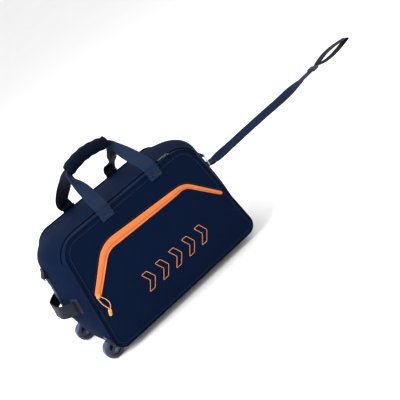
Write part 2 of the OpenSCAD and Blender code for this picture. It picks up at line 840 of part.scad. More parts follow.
// side view of a housing: a quarter arch inside the corner of the bag and a boss round the axle
module cheek_outline() {
    intersection() {
        circle(housing_r, $fn = 96);
        translate([-2, -6])
            square(60);
    }
    circle(boss_r, $fn = 64);
}

module housing() {
    difference() {
        linear_extrude(housing_w, center = true)
            cheek_outline();
        cylinder(r = wheel_d / 2 + arch_clear, h = cavity_w, center = true, $fn = 96);
        cylinder(d = axle_d, h = housing_w + 2, center = true, $fn = 48);
    }
}

module wheel_housing_front() {
    color(plastic_c) wheel_place(-1) housing();
}

module wheel_housing_back() {
    color(plastic_c) wheel_place(1) housing();
}

module axle() {
    head = 2;
    color(metal_c) {
        cylinder(d = axle_d, h = housing_w, center = true, $fn = 48);
        for (s = [-1, 1])
            translate([0, 0, s * (housing_w / 2 + head / 2)])
                cylinder(d = axle_d + 5, h = head, center = true, $fn = 48);
    }
}

module axle_front() {
    wheel_place(-1) axle();
}

module axle_back() {
    wheel_place(1) axle();
}

bore_play = 0.05;
hub_r = 20;

module hub() {
    color(rim_c)
        difference() {
            union() {
                cylinder(r = hub_r, h = wheel_w - 2, center = true, $fn = 96);
                cylinder(r = 6, h = wheel_w + 1, center = true, $fn = 48);
            }
            for (s = [-1, 1])
                translate([0, 0, s * (wheel_w / 2 - 2.5)])
                    rotate_extrude($fn = 96)
                        translate([8, -2])
                            square([9, 5]);
            cylinder(d = axle_d + 2 * bore_play, h = wheel_w + 4, center = true, $fn = 48);
        }
}

module tyre() {
    color(plastic_c)
        rotate_extrude($fn = 96)
            translate([hub_r, -wheel_w / 2])
                polygon([[0, 0], [4, 0], [7, 3], [7, wheel_w - 3], [4, wheel_w], [0, wheel_w]]);
}

module hub_front() {
    wheel_place(-1) hub();
}

module hub_back() {
    wheel_place(1) hub();
}

module tyre_front() {
    wheel_place(-1) tyre();
}

module tyre_back() {
    wheel_place(1) tyre();
}

// two screws hold each housing's arch to the base board side
module housing_screws() {
    color(metal_c)
        for (s = [-1, 1], a = [15, 75])
            wheel_place(s)
                rotate([0, 0, a])
                    translate([housing_r + 0.2, 0, 0])
                        rotate([0, 90, 0])
                            cylinder(d = 7, h = 1.6, $fn = 32);
}

foot_x = 165;
foot_y = 60;

module at_feet() {
    for (s = [-1, 1])
        translate([foot_x, body_y + s * foot_y, 0])
            children();
}

module rest_feet() {
    h = base_z - 0.2;
    color(plastic_c)
        at_feet()
            difference() {
                rotate_extrude($fn = 64)
                    polygon([[0, 0], [8, 0], [10, 2], [11, h - 4], [15, h - 2], [15, h], [0, h]]);
                translate([0, 0, -1])
                    cylinder(d = 8, h = 9, $fn = 32);
                translate([0, 0, -1])
                    cylinder(d = 3.4, h = h + 2, $fn = 32);
            }
}

module foot_screws() {
    color(metal_c)
        at_feet() {
            translate([0, 0, 4])
                cylinder(d = 7, h = 3.8, $fn = 32);
            translate([0, 0, 7])
                cylinder(d = 3.2, h = base_z - 7.4, $fn = 32);
        }
}

front_panel();
back_panel();
left_end_panel();
right_end_panel();
bottom_panel();
top_panel();
front_piping();
back_piping();
base_board();
end_stiffener();
pocket_panel();
pocket_zip_flap();
pocket_zip_teeth();
pocket_slider();
pocket_puller_cord();
pocket_puller_tab();
main_zip_front_tape();
main_zip_rear_tape();
main_zip_front_teeth();
main_zip_rear_teeth();
main_zip_end_tapes();
mouth_flap();
main_slider();
main_pull_tab();
front_handle_left_leg();
front_handle_right_leg();
back_handle_left_leg();
back_handle_right_leg();
front_handle_top();
back_handle_top();
grip_wrap();
grip_wrap_flap();
front_handle_anchors();
back_handle_anchors();
end_grab_handle();
left_ring_webbing();
left_ring_tab();
left_d_ring();
right_ring_tab();
right_ring();
strap_end_loop();
pull_strap();
tri_glide();
hand_loop();
wheel_housing_front();
wheel_housing_back();
axle_front();
axle_back();
hub_front();
hub_back();
tyre_front();
tyre_back();
housing_screws();
rest_feet();
foot_screws();
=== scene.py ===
# Looks of the rolling duffel bag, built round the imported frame. Metres, floor at z = 0, front at -Y.
import math
import bpy
from mathutils import Matrix, Vector, noise


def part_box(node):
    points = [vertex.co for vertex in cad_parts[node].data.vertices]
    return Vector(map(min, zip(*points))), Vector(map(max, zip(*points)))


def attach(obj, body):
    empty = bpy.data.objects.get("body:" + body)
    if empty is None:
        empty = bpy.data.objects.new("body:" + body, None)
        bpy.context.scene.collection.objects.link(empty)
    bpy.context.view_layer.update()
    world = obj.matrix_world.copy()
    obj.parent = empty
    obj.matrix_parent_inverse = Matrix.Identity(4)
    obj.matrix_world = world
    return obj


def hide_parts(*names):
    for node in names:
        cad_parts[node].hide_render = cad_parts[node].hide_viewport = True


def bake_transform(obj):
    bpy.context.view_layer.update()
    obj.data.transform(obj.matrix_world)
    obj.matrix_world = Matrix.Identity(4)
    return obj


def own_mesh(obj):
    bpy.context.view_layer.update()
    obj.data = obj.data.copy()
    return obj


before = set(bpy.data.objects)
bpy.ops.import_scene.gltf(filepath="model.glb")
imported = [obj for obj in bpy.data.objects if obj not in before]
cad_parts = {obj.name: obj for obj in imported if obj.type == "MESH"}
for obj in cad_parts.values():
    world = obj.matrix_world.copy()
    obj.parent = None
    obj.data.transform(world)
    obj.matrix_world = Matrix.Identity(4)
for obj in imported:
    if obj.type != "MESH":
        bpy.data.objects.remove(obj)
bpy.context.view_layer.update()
bpy.ops.object.select_all(action="DESELECT")


shot = {
    "azimuth": 22.14, "elevation": 22.44, "roll": -32.31, "lens": 70.6,  # degrees, millimetres
    "place": (-0.5676, -1.8914, 0.9830),
}



def aimCamera():
    az, el, roll = (math.radians(shot[k]) for k in ("azimuth", "elevation", "roll"))
    back = Vector((-math.sin(az) * math.cos(el), -math.cos(az) * math.cos(el), math.sin(el)))
    level = Vector((math.cos(az), -math.sin(az), 0))
    lift = back.cross(level)
    right = level * math.cos(roll) + lift * math.sin(roll)
    up = lift * math.cos(roll) - level * math.sin(roll)
    turn = Matrix((right, up, back)).transposed()
    bpy.ops.object.camera_add(location=shot["place"], rotation=turn.to_euler())
    camera = bpy.context.object
    camera.data.lens = shot["lens"]
    camera.data.sensor_width = 36
    bpy.context.scene.camera = camera


def mix(a, b, t):
    return a + (b - a) * t


def held(t):
    return min(1, max(0, t))


def ease(t):
    t = held(t)
    return t * t * (3 - 2 * t)


class Wire:
    def __init__(self, finish, socket):
        self.finish, self.socket = finish, socket

    def join(self, op, other, swap=False):
        pair = [other, self] if swap else [self, other]
        return self.finish.node("ShaderNodeMath", {"operation": op}, pair)

    def __add__(self, other):
        return self.join("ADD", other)

    def __radd__(self, other):
        return self.join("ADD", other, True)

    def __sub__(self, other):
        return self.join("SUBTRACT", other)

    def __rsub__(self, other):
        return self.join("SUBTRACT", other, True)

    def __mul__(self, other):
        return self.join("MULTIPLY", other)

    def __rmul__(self, other):
        return self.join("MULTIPLY", other, True)

    def __abs__(self):
        return self.join("ABSOLUTE", 0.0)

    def sine(self):
        return self.join("SINE", 0.0)

    def over(self, level):
        return self.join("GREATER_THAN", level)


class Finish:
    def __init__(self, name):
        self.material = bpy.data.materials.new(name)
        self.material.use_nodes = True
        self.nodes = self.material.node_tree.nodes
        self.links = self.material.node_tree.links
        self.shader = self.nodes["Principled BSDF"]

    def node(self, kind, settings=None, inputs=None, out=0):
        made = self.nodes.new(kind)
        for key, value in (settings or {}).items():
            setattr(made, key, value)
        pairs = inputs.items() if isinstance(inputs, dict) else enumerate(inputs or [])
        for key, value in pairs:
            if isinstance(value, Wire):
                self.links.new(value.socket, made.inputs[key])
            else:
                made.inputs[key].default_value = value
        return Wire(self, made.outputs[out])

    def grid(self):
        uv = self.node("ShaderNodeUVMap", {"uv_map": "weave"})
        split = self.node("ShaderNodeSeparateXYZ", inputs=[uv])
        return split, Wire(self, split.socket.node.outputs[1])

    def place(self):
        return self.node("ShaderNodeTexCoord", out=3)

    def noise(self, scale, detail=3.0, rough=0.55):
        settings = {"Vector": self.place(), "Scale": scale, "Detail": detail, "Roughness": rough}
        return self.node("ShaderNodeTexNoise", inputs=settings)

    def blendColour(self, factor, a, b):
        return self.node("ShaderNodeMix", {"data_type": "RGBA"}, {0: factor, 6: a, 7: b}, out=2)

    def colour(self, wire):
        self.links.new(wire.socket, self.shader.inputs["Base Color"])

    def rough(self, wire):
        self.links.new(wire.socket, self.shader.inputs["Roughness"])

    def bump(self, height, distance, strength=1.0):
        settings = {"Height": height, "Distance": distance, "Strength": strength}
        wire = self.node("ShaderNodeBump", inputs=settings)
        self.links.new(wire.socket, self.shader.inputs["Normal"])

    def fix(self, **values):
        for key, value in values.items():
            self.shader.inputs[key.replace("_", " ")].default_value = value
        return self.material


def shade(colour, k):
    return (colour[0] * k, colour[1] * k, colour[2] * k, 1)


def wovenCloth(name, colour, thread=0.0009, sheen=0.0, roughness=0.78, fade=1.5):
    f = Finish(name)
    u, v = f.grid()
    over = (u * (math.pi / thread)).sine() * (v * (math.pi / thread)).sine()  # plain weave
    slub = f.noise(260.0, 2.0)
    broad = f.noise(9.0, 4.0)
    crumple = f.noise(38.0, 5.0, 0.6)
    f.bump(over * 0.35 + slub * 0.35 + crumple * 2.2, 0.0006, 0.9)
    wear = f.node("ShaderNodeAttribute", {"attribute_name": "seam"}, out=2)
    tone = f.blendColour(broad, shade(colour, 0.78), shade(colour, 1.22))
    tone = f.blendColour((over + 1.0) * 0.22, tone, shade(colour, fade))
    tone = f.blendColour(wear * 0.45 * slub, tone, shade(colour, 2.0))  # rubbed beside the seams
    f.colour(tone)
    f.rough(roughness + (broad - 0.5) * 0.2)
    return f.fix(Sheen_Weight=sheen, Sheen_Roughness=0.4, IOR=1.11)


def ribbedWebbing(name, colour, rib=0.0016, fade=1.7):
    f = Finish(name)
    u, v = f.grid()
    rows = abs((v * (math.pi / (rib * 1.3))).sine())
    slant = (u * (math.pi / rib) + rows * 1.5).sine()
    broad = f.noise(16.0, 3.0)
    f.bump(slant * 0.35 + rows, 0.0005, 0.9)
    tone = f.blendColour(broad, shade(colour, 0.8), shade(colour, 1.2))
    tone = f.blendColour((slant + 1.0) * rows * 0.3, tone, shade(colour, fade))
    f.colour(tone)
    f.rough(0.5 + broad * 0.16)
    return f.fix(IOR=1.25)


def coatedTape(name, colour, pitch=0.0011):
    f = Finish(name)
    u, v = f.grid()
    ribs = (u * (math.pi / pitch)).sine() * (v * (math.pi / pitch)).sine()
    broad = f.noise(30.0, 3.0)
    f.bump(ribs, 0.00025, 0.7)
    tone = f.blendColour(broad, shade(colour, 0.86), shade(colour, 1.1))
    tone = f.blendColour((1.0 - ribs) * 0.18, tone, shade(colour, 0.62))
    f.colour(tone)
    f.rough(0.42 + broad * 0.18)
    return f.fix(IOR=1.28)


def braidedCord(name, colour):
    f = Finish(name)
    u, v = f.grid()
    braid = (u * 2600.0 + v * 900.0).sine() * (u * 2600.0 - v * 900.0).sine()
    f.bump(braid, 0.00025, 0.9)
    f.colour(f.blendColour((braid + 1.0) * 0.3, shade(colour, 1.08), shade(colour, 0.6)))
    f.rough(0.62 + braid * 0.05)
    return f.fix(Sheen_Weight=0.2)


def mouldedPlastic(name, colour, roughness=0.42, grain=900.0, worn=1.5, soft=False):
    f = Finish(name)
    fine, broad = f.noise(grain, 2.0), f.noise(28.0, 4.0)
    scuff = f.noise(150.0, 5.0, 0.7).over(0.62)
    f.bump(fine, 0.00012, 0.6)
    if soft:
        f.fix(IOR=1.25)
    tone = f.blendColour(broad, shade(colour, 0.82), shade(colour, 1.18))
    f.colour(f.blendColour(scuff * 0.25, tone, shade(colour, worn)))
    f.rough(roughness + (broad - 0.5) * 0.22)
    return f.fix(Specular_IOR_Level=0.45)


def platedMetal(name, colour, roughness=0.22):
    f = Finish(name)
    brushed, broad = f.noise(700.0, 2.0), f.noise(60.0, 4.0)
    f.bump(brushed, 0.00005, 0.4)
    f.colour(f.blendColour(broad, shade(colour, 0.82), shade(colour, 1.1)))
    f.rough(roughness + (brushed - 0.5) * 0.18)
    return f.fix(Metallic=1.0)


navy = (0.0013, 0.0058, 0.0225)
webNavy = (0.0028, 0.0115, 0.0390)
orange = (0.78, 0.200, 0.045)

look = {
    "body": wovenCloth("navyWeave", navy),
    "lining": wovenCloth("liningWeave", (0.020, 0.024, 0.034), 0.0006, 0.0, 0.6, 1.2),
    "piping": wovenCloth("pipingWeave", (0.0013, 0.0040, 0.0140), 0.0007),
    "wrap": wovenCloth("wrapWeave", (0.0016, 0.0034, 0.0100), 0.0012, 0.0, 0.75, 2.2),
    "webbing": ribbedWebbing("navyWebbing", webNavy),
    "darkWebbing": ribbedWebbing("darkWebbing", (0.0014, 0.0034, 0.0110)),
    "zipTape": wovenCloth("zipTape", (0.0026, 0.0085, 0.0300), 0.0006),
    "orangeTape": coatedTape("orangeTape", orange),
    "orangeCord": braidedCord("orangeCord", (0.93, 0.42, 0.12)),
    "orangePlastic": mouldedPlastic("orangePlastic", (0.90, 0.33, 0.05), 0.35),
    "teeth": mouldedPlastic("teethNylon", (0.0030, 0.0090, 0.0300), 0.45, soft=True),
    "orangeTeeth": mouldedPlastic("orangeNylon", (0.72, 0.20, 0.03), 0.35),
    "thread": braidedCord("navyThread", (0.0060, 0.0170, 0.0520)),
    "orangeThread": braidedCord("orangeThread", (0.83, 0.30, 0.07)),
    "housing": mouldedPlastic("housingPlastic", (0.0016, 0.0050, 0.0170), 0.38),
    "tyre": mouldedPlastic("tyrePlastic", (0.0040, 0.0175, 0.0600), 0.34, 500.0, 2.0),
    "hub": mouldedPlastic("hubPlastic", (0.0040, 0.0090, 0.0260), 0.3),
    "black": mouldedPlastic("blackPlastic", (0.010, 0.011, 0.014), 0.4),
    "board": mouldedPlastic("boardPlastic", (0.018, 0.019, 0.022), 0.6, 400.0),
    "metal": platedMetal("nickelPlate", (0.66, 0.67, 0.70)),
    "darkMetal": platedMetal("darkPlate", (0.075, 0.085, 0.115), 0.32),
}


studio = {
    "floor": 30, "floorDark": 0.86, "floorPale": 0.90, "sky": 1.0, "aim": (0.05, 0, 0.2),
    "lights": (((-2.2, 0.0, 2.1), 2.2, 115), ((1.8, -0.6, 2.2), 1.4, 14), ((-0.6, 1.9, 2.0), 1.6, 24)),
}


def buildStage():
    bpy.ops.mesh.primitive_plane_add(size=studio["floor"])
    floor = bpy.context.object
    floor.name = "studioFloor"
    f = Finish("paleFloor")
    broad = f.noise(1.5, 2.0)
    dark, pale = (shade((1, 1, 1), studio[key]) for key in ("floorDark", "floorPale"))
    f.colour(f.blendColour(broad, dark, pale))
    floor.data.materials.append(f.fix(Roughness=0.85))
    world = bpy.data.worlds.new("studioSky")
    world.use_nodes = True
    background = world.node_tree.nodes["Background"]
    background.inputs["Color"].default_value = (1, 1, 1, 1)
    background.inputs["Strength"].default_value = studio["sky"]
    bpy.context.scene.world = world
    for place, size, power in studio["lights"]:
        aim = (Vector(studio["aim"]) - Vector(place)).to_track_quat("-Z", "Y").to_euler()
        bpy.ops.object.light_add(type="AREA", radius=size, location=place, rotation=aim)
        bpy.context.object.data.energy = power
    bpy.context.scene.view_settings.view_transform = "Standard"


aimCamera()
buildStage()
print("stage ready")


def choose(pieces):
    bpy.ops.object.select_all(action="DESELECT")
    for piece in pieces:
        piece.select_set(True)
    bpy.context.view_layer.objects.active = pieces[0]


def joinPieces(pieces):
    choose(pieces)
    bpy.ops.object.join()
    return pieces[0]


def modify(piece, kind, **settings):
    choose([piece])
    bpy.ops.object.modifier_add(type=kind)
    added = piece.modifiers[-1]
    for key, value in settings.items():
        setattr(added, key, value)
    bpy.ops.object.modifier_apply(modifier=added.name)


def settle(piece, name, body, material, replaces=(), smooth=40):
    choose([piece])
    bpy.ops.object.transform_apply(location=True, rotation=True, scale=True)
    piece.name = name
    bpy.ops.object.shade_smooth_by_angle(angle=math.radians(smooth))
    if not piece.data.materials:
        piece.data.materials.append(look[material])
    if body:
        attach(piece, body)
    if replaces:
        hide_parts(*replaces)
    return piece


def lineLength(points):
    return sum((a - b).length for a, b in zip(points, points[1:]))


def surface(name, cols, rows, place, thick=0.0, inner=None, outer="body", relief=None, offset=-1,
            seamWidth=0.012, seams=(1, 1, 1, 1)):
    # a grid primitive whose points are put at place(u, v); the weave map is in metres
    bpy.ops.mesh.primitive_grid_add(x_subdivisions=cols, y_subdivisions=rows, size=1)
    piece = bpy.context.object
    mesh = piece.data
    flat = [(held(p.co.x + 0.5), held(p.co.y + 0.5)) for p in mesh.vertices]
    long = lineLength([place(k / 40, 0.5) for k in range(41)])
    wide = lineLength([place(0.5, k / 40) for k in range(41)])
    step = 1e-3

    def spot(u, v):
        return place(held(u), held(v))

    wear = mesh.attributes.new("seam", "FLOAT", "POINT")
    places = []
    for k, (u, v) in enumerate(flat):
        p = place(u, v)
        toEdges = (u * long, (1 - u) * long, v * wide, (1 - v) * wide)
        near = min([d for d, sewn in zip(toEdges, seams) if sewn] or [1.0])
        wear.data[k].value = 1 - ease(near / seamWidth)
        if relief:
            along = spot(u + step, v) - spot(u - step, v)
            across = spot(u, v + step) - spot(u, v - step)
            normal = along.cross(across)
            if normal.length > 0:
                p = p + normal.normalized() * relief(u * long, v * wide, near, p)
        places.append(p)
    for k, p in enumerate(places):
        mesh.vertices[k].co = p
    weave = mesh.uv_layers.active
    weave.name = "weave"
    for loop in mesh.loops:
        u, v = flat[loop.vertex_index]
        weave.data[loop.index].uv = (u * long, v * wide)
    mesh.materials.append(look[outer])
    mesh.materials.append(look[inner or outer])
    if thick:
        modify(piece, "SOLIDIFY", thickness=thick, offset=offset, material_offset=1, use_even_offset=False)
    piece.name = name
    return piece


def spline(points, n):
    points = [Vector(p) for p in points]
    line = []
    for i in range(len(points) - 1):
        a, b, c = points[max(i - 1, 0)], points[i], points[i + 1]
        e = points[min(i + 2, len(points) - 1)]
        for k in range(n):
            t = k / n
            line.append((2 * b + (c - a) * t + (2 * a - 5 * b + 4 * c - e) * t ** 2
                         + (3 * b - a - 3 * c + e) * t ** 3) / 2)
    return line + [points[-1]]


def pick(line, t):
    # point at share t of a list, between its members
    k = held(t) * (len(line) - 1)
    i = min(int(k), len(line) - 2)
    return line[i] + (line[i + 1] - line[i]) * (k - i)


def evenLine(points, step):
    # the same line with equal steps
    total = [0]
    for a, b in zip(points, points[1:]):
        total.append(total[-1] + (b - a).length)
    count = max(2, round(total[-1] / step))
    line, j = [], 0
    for k in range(count + 1):
        d = total[-1] * k / count
        while j < len(points) - 2 and total[j + 1] < d:
            j += 1
        gap = total[j + 1] - total[j]
        line.append(points[j] + (points[j + 1] - points[j]) * (min(1, (d - total[j]) / gap) if gap else 0))
    return line


def strap(name, route, across, widths, thick=0.0018, outer="webbing", cols=90, rows=8, relief=None):
    # webbing along a route: across gives the way of its width at each share of the length
    route = [Vector(p) for p in route]

    def place(u, v):
        p = pick(route, u)
        d = (pick(route, u + 0.01) - pick(route, u - 0.01)).normalized()
        a = across(u)
        a = (a - d * a.dot(d)).normalized()
        return p + a * (v - 0.5) * widths(u)

    def edges(s, t, near, p):
        wave = 0.00025 * math.sin(t * 900) * (1 if near > 0.002 else 0.3)
        return wave + (relief(s, t, near, p) if relief else 0)

    return surface(name, cols, rows, place, thick, outer=outer, relief=edges, offset=0, seamWidth=0.003)


def tube(name, line, radius, material, closed=False, sides=10):
    # a round cord: rings turned along the line, joined into a skin; its weave map runs along it
    line = [Vector(p) for p in line]
    n = len(line)
    rows = n if closed else n - 1
    bpy.ops.mesh.primitive_grid_add(x_subdivisions=sides, y_subdivisions=rows, size=1)
    piece = bpy.context.object
    mesh = piece.data
    side = Vector((0, 0, 1))
    frames = []
    for k in range(n):
        if closed:
            a, b = line[(k - 1) % n], line[(k + 1) % n]
        else:
            a, b = line[max(k - 1, 0)], line[min(k + 1, n - 1)]
        d = (b - a).normalized()
        if k == 0 and abs(d.z) > 0.9:
            side = Vector((0, 1, 0))
        side = (side - d * side.dot(d)).normalized()
        frames.append((line[k], side.copy(), d.cross(side)))
    run = [0]
    for k in range(rows):
        run.append(run[-1] + (line[(k + 1) % n] - line[k]).length)
    weave = mesh.uv_layers.active
    weave.name = "weave"
    where = []
    for p in mesh.vertices:
        i, k = round((p.co.x + 0.5) * sides), round((p.co.y + 0.5) * rows)
        where.append((i, k))
        c, s, t = frames[k % n]
        turn = 2 * math.pi * i / sides
        p.co = c + (s * math.cos(turn) - t * math.sin(turn)) * radius
    for loop in mesh.loops:
        i, k = where[loop.vertex_index]
        weave.data[loop.index].uv = (run[k], i / sides * 2 * math.pi * radius)
    mesh.materials.append(look[material])
    choose([piece])
    bpy.ops.object.mode_set(mode="EDIT")
    bpy.ops.mesh.select_all(action="SELECT")
    bpy.ops.mesh.remove_doubles(threshold=radius * 0.02)
    if not closed:
        bpy.ops.mesh.select_all(action="DESELECT")
        bpy.ops.mesh.select_mode(type="EDGE")
        bpy.ops.mesh.select_non_manifold()
        bpy.ops.mesh.fill_holes(sides=0)
    bpy.ops.mesh.select_mode(type="VERT")
    bpy.ops.mesh.select_all(action="SELECT")
    bpy.ops.mesh.normals_make_consistent(inside=False)
    bpy.ops.object.mode_set(mode="OBJECT")
    piece.name = name
    return piece


def copies(name, template, places, material):
    # one small shape repeated: every copy is baked into one mesh
    verts, faces = [], []
    base = [v.co.copy() for v in template.data.vertices]
    polys = [tuple(p.vertices) for p in template.data.polygons]
    for m in places:
        start = len(verts)
        verts.extend(m @ v for v in base)
        faces.extend(tuple(start + i for i in p) for p in polys)
    mesh = bpy.data.meshes.new(name)
    mesh.from_pydata(verts, [], faces)
    piece = bpy.data.objects.new(name, mesh)
    bpy.context.scene.collection.objects.link(piece)
    piece.data.materials.append(look[material])
    mesh.uv_layers.new(name="weave")
    uv = mesh.uv_layers[0].data
    for loop in mesh.loops:
        p = base[loop.vertex_index % len(base)]
        uv[loop.index].uv = (p.x, p.y + p.z)
    bpy.data.objects.remove(template)
    return piece


def seat(p, along, normal):
    # matrix of a small shape at p, its X along and its Z on the normal
    x = along.normalized()
    z = (normal - x * normal.dot(x)).normalized()
    y = z.cross(x)
    m = Matrix((x, y, z)).transposed().to_4x4()
    m.translation = p
    return m


def grain(length, width, height):
    bpy.ops.mesh.primitive_uv_sphere_add(segments=6, ring_count=4, radius=0.5)
    bead = bpy.context.object
    for v in bead.data.vertices:
        v.co = Vector((v.co.z * length, v.co.y * width, v.co.x * height))
    choose([bead])
    bpy.ops.object.mode_set(mode="EDIT")
    bpy.ops.mesh.select_all(action="SELECT")
    bpy.ops.mesh.normals_make_consistent(inside=False)
    bpy.ops.object.mode_set(mode="OBJECT")
    return bead


def onto(target, p, way, lift=0.0003):
    # the point where a line along way meets the made cloth, a little above it
    way = Vector(way).normalized()
    hit, spot, normal, face = target.ray_cast(Vector(p) - way * 0.03, way)
    return (spot if hit else Vector(p)) - way * lift


def stitches(name, lines, normal, body, material="thread", pitch=0.0042, size=(0.0031, 0.0008, 0.0007)):
    places = []
    for line in lines:
        points = evenLine([Vector(p) for p in line], pitch)
        for a, b in zip(points, points[1:]):
            middle = (a + b) / 2
            way = normal(middle) if callable(normal) else Vector(normal)
            places.append(seat(middle, b - a, way))
    return settle(copies(name, grain(*size), places, material), name, body, material)


bag = {
    "baseLength": 0.508, "topLength": 0.432, "height": 0.306, "baseDepth": 0.257, "topDepth": 0.190,
    "gap": 0.0215, "middle": 0.0065, "topRadius": 0.052, "baseRadius": 0.028, "endSwell": 0.042,
    "faceSwell": 0.008, "topSwell": 0.005, "swellRise": 0.150, "wall": 0.0018, "faceHalf": 0.24985,
    "seamInset": 0.0085, "pipingRadius": 0.0021,
}
baseZ, topZ = bag["gap"], bag["gap"] + bag["height"]
midZ = (baseZ + topZ) / 2
midY = bag["middle"]


def halfDepth(z):
    return mix(bag["baseDepth"], bag["topDepth"], (z - baseZ) / bag["height"]) / 2


def halfLength(z):
    return mix(bag["baseLength"], bag["topLength"], (z - baseZ) / bag["height"]) / 2


def roundCorner(a, v, b, radius, n):
    u, w = (a - v).normalized(), (b - v).normalized()
    half = math.acos(u.dot(w)) / 2
    centre = v + (u + w).normalized() * radius / math.sin(half)
    s, e = v + u * radius / math.tan(half) - centre, v + w * radius / math.tan(half) - centre
    start = math.atan2(s.y, s.x)
    turn = (math.atan2(e.y, e.x) - start + 3 * math.pi) % (2 * math.pi) - math.pi
    return [centre + radius * Vector((math.cos(start + turn * i / n), math.sin(start + turn * i / n)))
            for i in range(n + 1)]


def straight(a, b, n):
    return [a + (b - a) * i / n for i in range(1, n)]


halfBase, halfTop = bag["baseLength"] / 2, bag["topLength"] / 2
cornerBL, cornerTL = Vector((-halfBase, baseZ)), Vector((-halfTop, topZ))
cornerTR, cornerBR = Vector((halfTop, topZ)), Vector((halfBase, baseZ))
arcTL = roundCorner(cornerBL, cornerTL, cornerTR, bag["topRadius"], 16)
arcTR = roundCorner(cornerTL, cornerTR, cornerBR, bag["topRadius"], 16)
arcBR = roundCorner(cornerTR, cornerBR, cornerBL, bag["baseRadius"], 12)
arcBL = roundCorner(cornerBR, cornerBL, cornerTL, bag["baseRadius"], 12)
topRun = arcTL + straight(arcTL[-1], arcTR[0], 40) + arcTR
rightRun = straight(arcTR[-1], arcBR[0], 28)
bottomRun = arcBR + straight(arcBR[-1], arcBL[0], 44) + arcBL
leftRun = straight(arcBL[-1], arcTL[0], 28)
rim = topRun + rightRun + bottomRun + leftRun
firstRight = len(topRun) - 1
firstBottom = firstRight + len(rightRun) + 1
firstLeft = firstBottom + len(bottomRun) - 1
firstTop = len(rim)


def rimOut(i):
    d = rim[(i + 1) % len(rim)] - rim[(i - 1) % len(rim)]
    return Vector((-d.y, d.x)).normalized()


rimWays = [rimOut(i) for i in range(len(rim))]


def rimAt(k):
    i = int(math.floor(k))
    t = k - i
    a, b = i % len(rim), (i + 1) % len(rim)
    return rim[a].lerp(rim[b], t), rimWays[a].lerp(rimWays[b], t).normalized()


def bandPoint(k, y, lift=0.0):
    p, n = rimAt(k)
    v = min(1, abs((y - midY) / halfDepth(p.y)))
    rise = held((p.y - baseZ) / bag["swellRise"])
    swell = bag["topSwell"] * max(n.y, 0) ** 2 + bag["endSwell"] * n.x ** 2 * math.sin(math.pi / 2 * rise)
    q = p + n * (swell * math.cos(math.pi / 2 * v) + lift)
    return Vector((q.x, y, q.y))


def seamFront(k):
    return midY - halfDepth(rimAt(k)[0].y)


def seamBack(k):
    return midY + halfDepth(rimAt(k)[0].y)


def crown(x, z):
    u = min(1, abs(x) / halfLength(z))
    v = min(1, abs(z - midZ) / (bag["height"] / 2))
    return (1 - u ** 3) * (1 - v ** 3)


def frontY(x, z):
    return midY - halfDepth(z) - bag["faceSwell"] * crown(x, z)


def backY(x, z):
    return midY + halfDepth(z) + bag["faceSwell"] * crown(x, z)


def lookUp(x, table):
    if x <= table[0][0]:
        return table[0][1]
    for a, b in zip(table, table[1:]):
        if x <= b[0]:
            return mix(a[1], b[1], (x - a[0]) / (b[0] - a[0])) if b[0] > a[0] else b[1]
    return table[-1][1]


upperEdge = [arcBL[-1]] + leftRun + topRun + rightRun + [arcBR[0]]
lowerEdge = arcBL[::-1] + arcBR[::-1]


def topIndex(x):
    # place on the top run with that x
    for k in range(len(topRun) - 1):
        if topRun[k + 1].x >= x:
            return k + (x - topRun[k].x) / (topRun[k + 1].x - topRun[k].x)
    return len(topRun) - 1.0


def softRelief(strength=1.0, seed=0.0, pucker=0.0004):
    # slack cloth between seams: broad hollows, soft creases, and gathers beside each seam
    def relief(s, t, near, p):
        inside = ease(near / 0.05)
        q = p * 9 + Vector((seed, seed, seed))
        broad = noise.noise(q) * 0.0016
        crease = (1 - abs(noise.noise(Vector((p.x * 16, p.y * 16, p.z * 7 + seed)))) * 2) * 0.0007
        gather = pucker * math.sin((s + t) * 2 * math.pi / 0.011) * math.exp(-((near - 0.005) / 0.004) ** 2)
        roll = 0.0007 * math.exp(-((near - 0.0045) / 0.0022) ** 2)
        return strength * inside * (broad + crease) + (gather + roll) * min(1, near / 0.001)
    return relief


made = {}  # cloth that thread is laid on later


def facePlace(side):
    def place(u, v):
        x = bag["faceHalf"] * math.cos(math.pi * u) * side
        z = mix(lookUp(x, lowerEdge), lookUp(x, upperEdge), v)
        return Vector((x, frontY(x, z) if side < 0 else backY(x, z), z))
    return place


def bandPlace(k0, k1, lo, hi, lift=0.0):
    def place(u, v):
        k = mix(k0, k1, u)
        return bandPoint(k, mix(lo(k), hi(k), v), lift)
    return place


wheelRoom = {"radius": 0.0364, "depth": 0.0350, "x": -0.256, "z": 0.027, "spread": 0.095}


def wheelWindow(piece, s):
    # takes the room of one wheel housing out of the cloth
    place = (wheelRoom["x"], midY + s * wheelRoom["spread"], wheelRoom["z"])
    bpy.ops.mesh.primitive_cylinder_add(vertices=64, radius=wheelRoom["radius"], depth=wheelRoom["depth"],
                                        location=place, rotation=(math.pi / 2, 0, 0))
    cutter = bpy.context.object
    modify(piece, "BOOLEAN", operation="DIFFERENCE", object=cutter, solver="EXACT")
    bpy.data.objects.remove(cutter)


def sewPiping(name, side, node):
    line = []
    for i in range(len(rim)):
        p, n = rimAt(i)
        y = seamFront(i) + 0.001 if side < 0 else seamBack(i) - 0.001
        line.append(Vector((p.x + n.x * 0.0012, y, p.y + n.y * 0.0012)))
    piece = tube(name, line, bag["pipingRadius"], "piping", closed=True, sides=12)
    settle(piece, name, "bag", "piping", [node])


